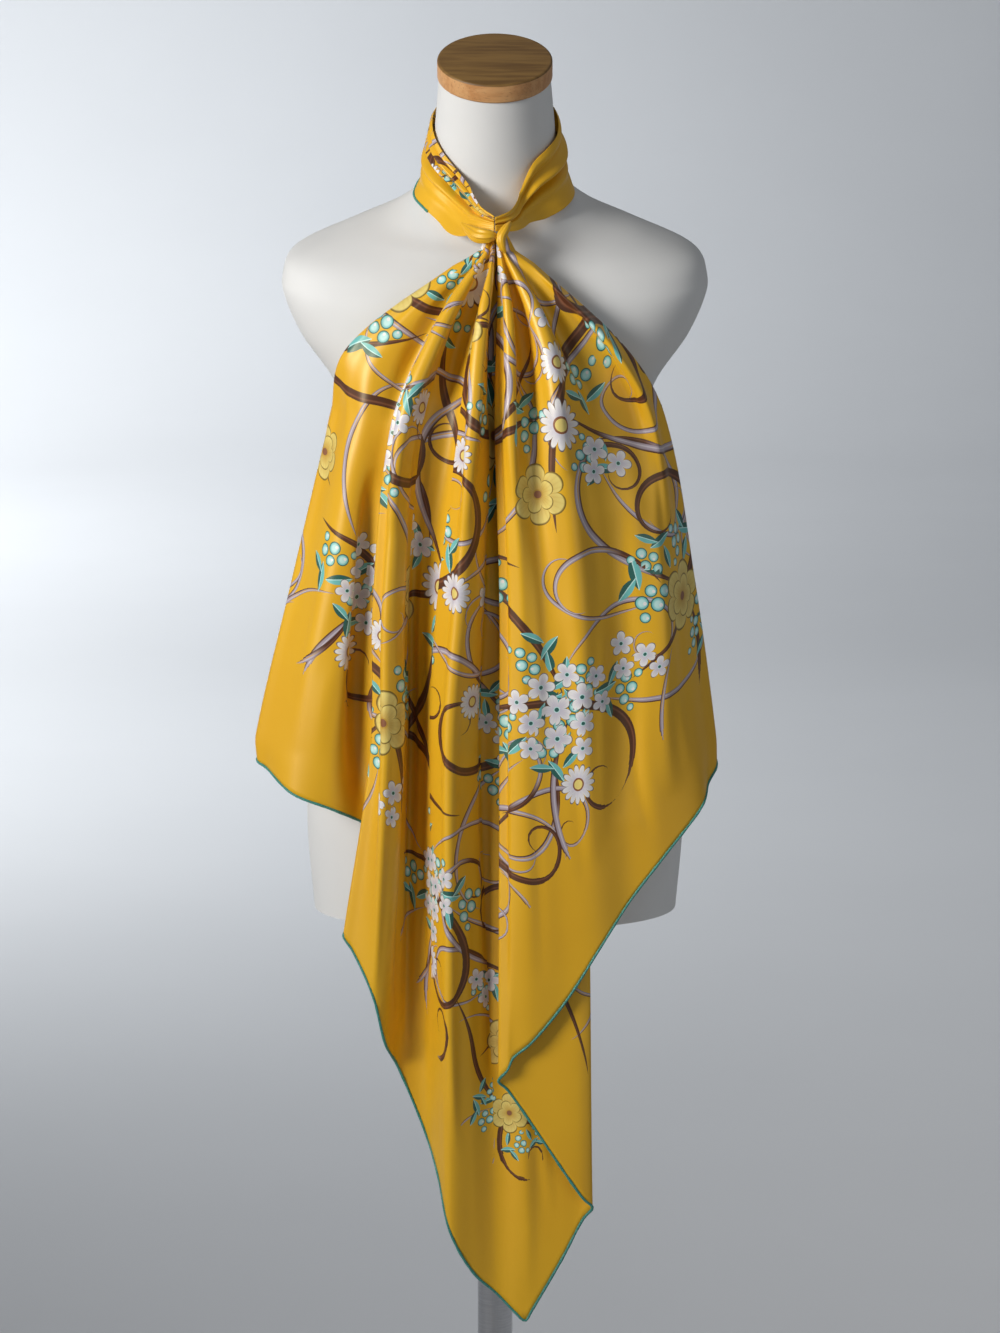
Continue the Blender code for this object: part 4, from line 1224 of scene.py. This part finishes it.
# place across the band at the knot and at the nape, half width as a share of the
# band, and height in mm of each fold
LEFT_BAND_FOLDS = (
    (0.10, 0.08, 0.09, 1.2), (0.34, 0.24, 0.11, 2.6), (0.52, 0.44, 0.06, 4.6),
    (0.615, 0.56, 0.035, -6.0), (0.69, 0.64, 0.040, 3.6), (0.76, 0.72, 0.020, -2.2),
    (0.81, 0.79, 0.032, 2.6), (0.88, 0.86, 0.018, -2.0), (0.94, 0.93, 0.040, 2.0),
)
RIGHT_BAND_FOLDS = (
    (0.14, 0.10, 0.12, 2.2), (0.36, 0.33, 0.08, 2.6), (0.47, 0.45, 0.050, -7.5),
    (0.60, 0.58, 0.085, 5.6), (0.76, 0.77, 0.030, -2.0), (0.90, 0.92, 0.09, 2.8),
)
BAND_COLUMNS = 110
BAND_ROWS = 72
# a fold is at its full height where the band is this wide, in mm, and no point of a
# band lies closer to the form than the last number
FULL_WIDTH = 45
LEAST_LIFT = 1.1


def band_grid(table, folds, side):
    """Grid of points of one neck stretch; side is 1 for the left, -1 for the right."""
    stops = table[:, 0]
    way = np.linspace(0, len(stops) - 1, BAND_COLUMNS + 1)
    end = 180 - math.degrees(NAPE_GAP / LOOP_RADIUS)
    degrees = np.minimum(np.interp(way, np.arange(len(stops)), stops), end)
    low, high, low_lift, high_lift = [smooth_at(stops, values, degrees)
                                      for values in table.T[1:]]
    v = np.linspace(0, 1, BAND_ROWS + 1)[:, None]
    height = (low + (high - low) * v) * MM
    lift = low_lift + (high_lift - low_lift) * v
    for at_knot, at_nape, half, depth in folds:
        centre = at_nape + (at_knot - at_nape) * (1 - degrees / 180)
        bump = depth * np.exp(-((v - centre) / half) ** 2)
        lift = lift + bump * np.minimum(1.0, (high - low) / FULL_WIDTH)
    lift = np.maximum(lift, LEAST_LIFT)
    angle = np.radians(degrees)[None, :] * side + np.zeros_like(v)
    skin = skin_at(angle, height)
    out = skin - np.array([0.0, LOOP_CENTRE_Y, 0.0])
    out[..., 2] = 0
    out /= np.linalg.norm(out, axis=-1, keepdims=True)
    grid = skin + out * lift[..., None] * MM
    return grid if side > 0 else grid[:, ::-1]


left_grid = band_grid(LEFT_STRETCH, LEFT_BAND_FOLDS, 1)
right_grid = band_grid(RIGHT_STRETCH, RIGHT_BAND_FOLDS, -1)
print("bands:", left_grid.shape[0], "rows,", left_grid.shape[1], "columns each")


# %% [markdown]
# The corner that goes round the neck is rolled, so the print shows only in places. Each
# band is laid on the flat square by its run along the hem and its depth from it, and a
# table makes the depth jump where a fold hides some cloth. These jumps fade out on the
# way to the nape, where the bands show the plain border.

# %% Neck stretches on the flat square
FADE_END = 0.165
FADE_RUN = 0.035
SLANT = math.sqrt(0.5)
# where a band starts on the square, the way of its run, the way of its depth, and the
# places across the band and extra depths of the jumps
LEFT_LAID = ((-0.50, KNOT_LINE + 0.02), (SLANT, SLANT), (SLANT, -SLANT),
             (0.0, 0.56, 0.60, 0.73, 0.75, 0.86, 0.88, 1.0),
             (0.0, 0.0, 0.085, 0.085, 0.125, 0.125, 0.16, 0.16))
RIGHT_LAID = ((0.2, 1.30), (-SLANT, SLANT), (-SLANT, -SLANT), (0.0, 1.0), (0.0, 0.02))


def band_flat(grid, start, hem_way, inward, places, jumps):
    """Flat places of the face corners of a band."""
    run = lengths_between(grid, 1)
    share = np.linspace(0, 1, grid.shape[0])[:, None]
    fade = np.clip((FADE_END - run) / FADE_RUN, 0, 1)
    depth = lengths_between(grid, 0) + np.interp(share, places, jumps) * fade
    flat = start + run[..., None] * np.array(hem_way) + depth[..., None] * np.array(inward)
    return np.stack(face_corners(flat), axis=2)


left_band_flat = band_flat(left_grid, *LEFT_LAID)
left_band = cloth_shell("silk_neck_left", left_grid, printed_silk, left_band_flat,
                        print_attributes(left_band_flat))
right_band = cloth_shell("silk_neck_right", right_grid, plain_silk,
                         band_flat(right_grid, *RIGHT_LAID), {})


# %% [markdown]
# The knot is two small turns of the same silk. A tied turn is a puffed roll with fine
# pleats that meet where it is pinched, so each is a tube swept along a short path, with
# its own width and thickness at each place and ridges that run along it.

# %% Knot at the throat
KNOT_RINGS = 40
KNOT_SEGMENTS = 48
# the way that the front of the knot faces, and how quickly a roll closes at its ends
KNOT_FACES = (0.0, -1.0, 0.25)
END_ROUNDING = 0.35
# stops of each roll (x, y, z, half width, half thickness, lean) in mm and degrees, and
# then the number, height and twist of its pleats
LOBE_STOPS = (
    (-30, -73.5, 1320, 1.8, 1.2, 0), (-23, -82.5, 1315.5, 4.6, 3.0, 0),
    (-16, -90.5, 1312, 6.2, 4.6, 0), (-8.5, -94.5, 1311, 6.0, 5.2, 5),
    (-2.5, -95, 1311, 5.2, 4.4, 10), (3, -91, 1309.5, 2.4, 3.0, 10),
)
STRAND_STOPS = (
    (14, -83, 1322, 2.6, 2.4, 0), (9.8, -91.5, 1317, 3.9, 3.6, 8),
    (5.5, -95.5, 1309.5, 4.0, 3.8, 12), (6.4, -96.5, 1302, 3.5, 3.2, 12),
    (9.5, -95, 1296, 2.8, 2.6, 12),
)


def unit(vectors):
    """The vectors at length one."""
    return vectors / np.linalg.norm(vectors, axis=-1, keepdims=True)


def knot_roll(name, stops, pleats, ridge, twist):
    """A roll of cloth along its stops, closed at both ends."""
    stops = np.array(stops, float)
    way = np.arange(len(stops))
    t = np.linspace(0, way[-1], KNOT_RINGS + 1)[:, None]
    x, y, z, wide, thick, lean = [smooth_at(way, values, t) for values in stops.T]
    path = np.concatenate([x, y, z], axis=1) * MM
    toward = unit(np.gradient(path, axis=0))
    side = unit(np.cross(toward, KNOT_FACES))
    out = np.cross(side, toward)
    lean = np.radians(lean)
    side, out = side * np.cos(lean) + out * np.sin(lean), out * np.cos(lean) - side * np.sin(lean)
    turn = turns(KNOT_SEGMENTS)
    wave = 1 + ridge * np.cos(pleats * turn + twist * t)
    wave = wave * (1 + 0.5 * ridge * np.cos((pleats * 2 + 1) * turn + 1.3))
    wave = wave * np.sin(np.pi * np.clip(t / way[-1], 0, 1)) ** END_ROUNDING * MM
    rings = (path[:, None] + side[:, None] * (wide * wave * np.cos(turn))[..., None]
             + out[:, None] * (thick * wave * np.sin(turn))[..., None])
    piece = ringed_piece(name, rings, plain_silk)
    piece.data.uv_layers.new(name="flat")
    print(f"{name}: {len(piece.data.polygons)} faces")
    return piece


lobe = knot_roll("knot_lobe", LOBE_STOPS, 5, 0.11, 0.15)
strand = knot_roll("knot_strand", STRAND_STOPS, 4, 0.09, -0.2)


# %% [markdown]
# A hand-rolled hem is a thin plump roll in teal, held by tiny slanting stitches. It
# follows the edge of each sheet, which is work for Geometry Nodes: the edge becomes a
# curve, a round profile goes along it, and a stitch is set every few millimetres. All
# sizes are inputs of the tree, so one tree serves every edge.

# %% Recipes for Geometry Nodes
class Recipe(Nodes):
    """A Geometry Nodes tree with named inputs that works along an edge."""

    def __init__(self, name, **inputs):
        self.tree = bpy.data.node_groups.new(name, "GeometryNodeTree")
        face = self.tree.interface
        for key, kind in {"Geometry": "Geometry", **inputs}.items():
            face.new_socket(key, in_out="INPUT", socket_type="NodeSocket" + kind)
        face.new_socket("Geometry", in_out="OUTPUT", socket_type="NodeSocketGeometry")
        self.start = self.tree.nodes.new("NodeGroupInput").outputs
        self.end = self.tree.nodes.new("NodeGroupOutput").inputs

    def even_curve(self, spacing):
        """The edge as a curve, with a point at every so many metres."""
        curve = self.node("GeometryNodeMeshToCurve", values={0: self.start["Geometry"]})
        return self.node("GeometryNodeResampleCurve", {"mode": "LENGTH"},
                         {"Curve": curve, "Length": self.start[spacing]})

    def finish(self, geometry):
        """Real meshes in the material of the input."""
        real = self.node("GeometryNodeRealizeInstances", values={0: geometry})
        thread = self.node("GeometryNodeSetMaterial", values={
            "Geometry": real, "Material": self.start["Material"]})
        self.tree.links.new(thread.outputs[0], self.end[0])
        return self


def hem_recipe():
    """A roll along an edge, a little uneven as hand work is."""
    recipe = Recipe("rolled_hem", Radius="Float", Step="Float", Material="Material")
    even = recipe.even_curve("Step")
    noise = recipe.node("ShaderNodeTexNoise", values={"Scale": 110.0, "Detail": 1.0})
    size = recipe.node("ShaderNodeMapRange", values={0: noise, 1: 0.3, 2: 0.7, 3: 0.82,
                                                     4: 1.12})
    ring = recipe.node("GeometryNodeCurvePrimitiveCircle",
                       values={"Resolution": 8, "Radius": recipe.start["Radius"]})
    roll = recipe.node("GeometryNodeCurveToMesh", values={
        "Curve": even, "Profile Curve": ring, "Fill Caps": True, "Scale": size})
    return recipe.finish(roll)


def stitch_recipe():
    """Slanting stitches over the roll."""
    recipe = Recipe("hem_stitches", Spacing="Float", Lift="Float", Length="Float",
                    Thickness="Float", Slant="Float", Material="Material")
    way = recipe.node("GeometryNodeInputNamedAttribute", {"data_type": "FLOAT_VECTOR"},
                      {"Name": "outward"})
    lift = recipe.node("ShaderNodeVectorMath", {"operation": "SCALE"},
                       {0: way, "Scale": recipe.start["Lift"]})
    moved = recipe.node("GeometryNodeSetPosition", values={
        "Geometry": recipe.even_curve("Spacing"), "Offset": lift})
    tangent = recipe.node("GeometryNodeInputTangent")
    turned = recipe.node("FunctionNodeAlignRotationToVector", {"axis": "X"},
                         {"Vector": tangent})
    angle = recipe.node("ShaderNodeCombineXYZ", values={2: recipe.start["Slant"]})
    slant = recipe.node("FunctionNodeRotateRotation", {"rotation_space": "LOCAL"},
                        {0: turned, 1: angle})
    bead = recipe.node("GeometryNodeMeshUVSphere",
                       values={"Segments": 6, "Rings": 4, "Radius": 1.0})
    thick = recipe.start["Thickness"]
    size = recipe.node("ShaderNodeCombineXYZ",
                       values={0: recipe.start["Length"], 1: thick, 2: thick})
    thread = recipe.node("GeometryNodeInstanceOnPoints", values={
        "Points": moved, "Instance": bead, "Rotation": slant, "Scale": size})
    return recipe.finish(thread)


# %% A tree run on an edge
def edge_object(points, ways):
    """An edge of the cloth as a chain of vertices that know which way is outward."""
    mesh = bpy.data.meshes.new("edge")
    mesh.from_pydata(points.tolist(), [(k, k + 1) for k in range(len(points) - 1)], [])
    layer = mesh.attributes.new("outward", "FLOAT_VECTOR", "POINT")
    layer.data.foreach_set("vector", ways.astype(np.float32).ravel())
    return added("edge", mesh)


def grown(name, source, recipe, values):
    """Run a tree on a source object and keep the result as a plain smooth mesh."""
    modifier = source.modifiers.new("grow", "NODES")
    modifier.node_group = recipe.tree
    for item in recipe.tree.interface.items_tree:
        if item.in_out == "INPUT" and item.name in values:
            modifier[item.identifier] = values[item.name]
    bpy.context.view_layer.update()
    evaluated = source.evaluated_get(bpy.context.evaluated_depsgraph_get())
    mesh = bpy.data.meshes.new_from_object(evaluated)
    source.modifiers.remove(modifier)
    bpy.data.objects.remove(source)
    mesh.name = name
    mesh.shade_smooth()
    return added(name, mesh)


# %% Rolled hem with its stitches
def hem_thread(name, *tones):
    """Teal silk thread, finely twisted."""
    return plain_finish(name, tones, (900.0, 2.0), (0.35, 0.65), (0.45, 0.1),
                        (0.2, 0.0003), constants={"Sheen Weight": 0.1})


HEM_RADIUS = 0.00125
HEM_SIZES = {"Radius": HEM_RADIUS, "Step": 0.003,
             "Material": hem_thread("hem_teal", (0.060, 0.300, 0.245), (0.025, 0.175, 0.145))}
STITCH_SIZES = {"Spacing": 0.0052, "Lift": HEM_RADIUS * 0.86, "Length": 0.0011,
                "Thickness": 0.00028, "Slant": 0.6,
                "Material": hem_thread("stitch_teal", (0.10, 0.40, 0.33), (0.05, 0.28, 0.23))}
rolled = hem_recipe()
stitched = stitch_recipe()


def hem_along(name, grid, edge):
    """The roll and the stitches along one edge of a grid."""
    points, ways = edge(grid), edge(grid_normals(grid))
    made = [grown(name, edge_object(points, ways), rolled, HEM_SIZES),
            grown(name + "_stitches", edge_object(points, ways), stitched, STITCH_SIZES)]
    print(f"{name}:", " + ".join(str(len(piece.data.polygons)) for piece in made), "faces")
    return made


def round_edge(grid):
    """The two sides and the lower edge of a grid, in one run."""
    return np.concatenate([grid[:, 0], grid[-1, 1:], grid[-2::-1, -1]])


# the hem of a neck stretch starts or ends where the knot hides it, at these columns
LEFT_HEM_START = 58
RIGHT_HEM_END = 22
fall_hem = hem_along("hem_fall", fall_grid, round_edge)
left_hem = hem_along("hem_neck_left", left_grid, lambda grid: grid[0, LEFT_HEM_START:])
right_hem = hem_along("hem_neck_right", right_grid, lambda grid: grid[-1, :RIGHT_HEM_END])


# %% [markdown]
# The stand keeps its plain solids, because a plate, a pole and a weighted base are
# true in shape already. They get powder paint with a fine orange peel, and steel that
# was brushed round its axis.

# %% Stand finishes
paint = plain_finish("powder_paint", ((0.74, 0.74, 0.73), (0.66, 0.66, 0.65)),
                     (9.0, 4.0, 0.65), (0.4, 0.75), (0.38, 0.12), (0.25, 0.0004),
                     (1100.0, 2.0))
steel = plain_finish("brushed_steel", ((0.66, 0.66, 0.67), (0.54, 0.54, 0.55)),
                     (420.0, 3.0, 0.6, None, (0.15, 0.15, 6.0)), (0.3, 0.7), (0.24, 0.16),
                     (0.12, 0.0003), constants={"Metallic": 1.0})
STAND = {"form_bottom_plate": paint, "form_base": paint, "form_collar": steel,
         "form_pole": steel}
for node, finish in STAND.items():
    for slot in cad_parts[node].material_slots:
        slot.material = finish
print("stand finishes:", ", ".join(STAND))


# %% [markdown]
# Every new piece is put on the body that it rides on, and the solids that it stands for
# are hidden. The area of each sheet of cloth is measured.

# %% Put each piece on its body
def settle(piece, slot, *nodes):
    """Put a piece on the only body and hide the solids it replaces. The slot is not used."""
    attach(piece, "root")
    if nodes:
        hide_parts(*nodes)


settle(fall, "golden_silk", "front_fall")
settle(left_band, "golden_silk", "neck_stretch_left")
settle(right_band, "golden_silk", "neck_stretch_right")
settle(lobe, "golden_silk", "knot")
settle(strand, "golden_silk", "knot")
settle(torso, "white_form", "form_torso")
settle(cap, "neck_wood", "form_neck_cap")
for piece in fall_hem + left_hem + right_hem:
    settle(piece, "golden_silk")

for name, grid in (("fall", fall_grid), ("left", left_grid), ("right", right_grid)):
    a, b, c, d = face_corners(grid)
    doubled = np.linalg.norm(np.cross(b - a, c - a), axis=-1)
    doubled += np.linalg.norm(np.cross(c - a, d - a), axis=-1)
    print(f"{name}: {doubled.sum() / 2:.4f} square metres of cloth")


# %% [markdown]
# The room is a pale floor that sweeps up into a wall, so there is no horizon. A plane
# with a bent back edge would do too, but a list of points keeps the sweep's radius in
# one number.

# %% Floor and backdrop
FLOOR_FRONT = -12.0
FLOOR_BACK = 6.4
FLOOR_HALF = 14.0
SWEEP_RADIUS = 2.6
SWEEP_STEPS = 24
WALL_TOP = 6.0


def backdrop_paper():
    """Pale grey paper, hardly mottled."""
    finish = Finish("backdrop_paper")
    mottled = finish.noise(1.6, 3.0)
    fibre = finish.noise(300.0, 2.0)
    return finish.done(finish.mix(mottled, (0.74, 0.75, 0.77), (0.69, 0.70, 0.72)),
                       0.8 + fibre * 0.1, finish.bump(fibre, 0.05, 0.0005))


sweep = [(FLOOR_FRONT, 0.0)]
for k in range(SWEEP_STEPS + 1):
    turn = math.pi / 2 * k / SWEEP_STEPS
    sweep.append((FLOOR_BACK + SWEEP_RADIUS * math.sin(turn),
                  SWEEP_RADIUS * (1 - math.cos(turn))))
sweep.append((FLOOR_BACK + SWEEP_RADIUS, WALL_TOP))
points = [(x, y, z) for y, z in sweep for x in (-FLOOR_HALF, FLOOR_HALF)]
faces = [(2 * k, 2 * k + 1, 2 * k + 3, 2 * k + 2) for k in range(len(sweep) - 1)]
smooth_piece("backdrop", points, faces, backdrop_paper())
print("backdrop:", len(faces), "faces")


# %% [markdown]
# One soft light hangs on the left in front, and a weak one on the right opens the
# shadows. Two more stand behind the form and light the wall and the floor there, because
# an object is easier to see before a ground that is lit by itself. A smaller spread
# works like a grid before the lamp and narrows its light.

# %% Soft lights
# name, place, aim, size in metres, power in watts, colour and spread in degrees
LIGHTS = (
    ("key", (-2.85, -2.3, 2.4), (-0.05, 0.0, 1.34), 1.5, 13.0, (1.0, 0.985, 0.96), 45),
    ("fill", (2.8, -3.4, 1.6), (0.0, 0.0, 1.2), 2.0, 3.0, (0.96, 0.98, 1.0), 80),
    ("wash", (-3.2, 4.4, 2.2), (-1.5, 7.2, 0.5), 1.4, 66.0, (0.95, 0.98, 1.0), 95),
    ("floor_wash", (-2.5, 3.5, 2.2), (-1.4, 3.8, 0.0), 2.4, 56.0, (0.95, 0.98, 1.0), 115),
)
ROOM_COLOUR = (0.86, 0.90, 0.95, 1.0)
ROOM_STRENGTH = 0.23
for name, place, aim, size, power, colour, spread in LIGHTS:
    lamp = bpy.data.lights.new(name, "AREA")
    lamp.size = size
    lamp.energy = power
    lamp.color = colour
    lamp.spread = math.radians(spread)
    holder = added(name, lamp)
    holder.location = place
    way = Vector(aim) - Vector(place)
    holder.rotation_euler = way.to_track_quat("-Z", "Y").to_euler()
    holder.visible_camera = False
world = bpy.data.worlds.new("studio")
world.use_nodes = True
background = world.node_tree.nodes["Background"].inputs
background[0].default_value = ROOM_COLOUR
background[1].default_value = ROOM_STRENGTH
bpy.context.scene.world = world
print("lights:", ", ".join(light[0] for light in LIGHTS))


# %% [markdown]
# A long lens from far away keeps the tall form upright and undistorted. The camera
# looks down a little, so the wooden cap shows its top. The plain view transform keeps
# the gold as strong as it was mixed.

# %% Camera
CAMERA_PLACE = (0.0045, -4.4017, 1.8456)
CAMERA_TILT = math.radians(78.0)
lens = bpy.data.cameras.new("camera")
lens.lens = 135.0
lens.sensor_width = 36.0
camera = added("camera", lens)
camera.location = CAMERA_PLACE
camera.rotation_euler = (CAMERA_TILT, 0.0, 0.0)
bpy.context.scene.camera = camera
bpy.context.scene.view_settings.view_transform = "Standard"
print("camera at", CAMERA_PLACE)
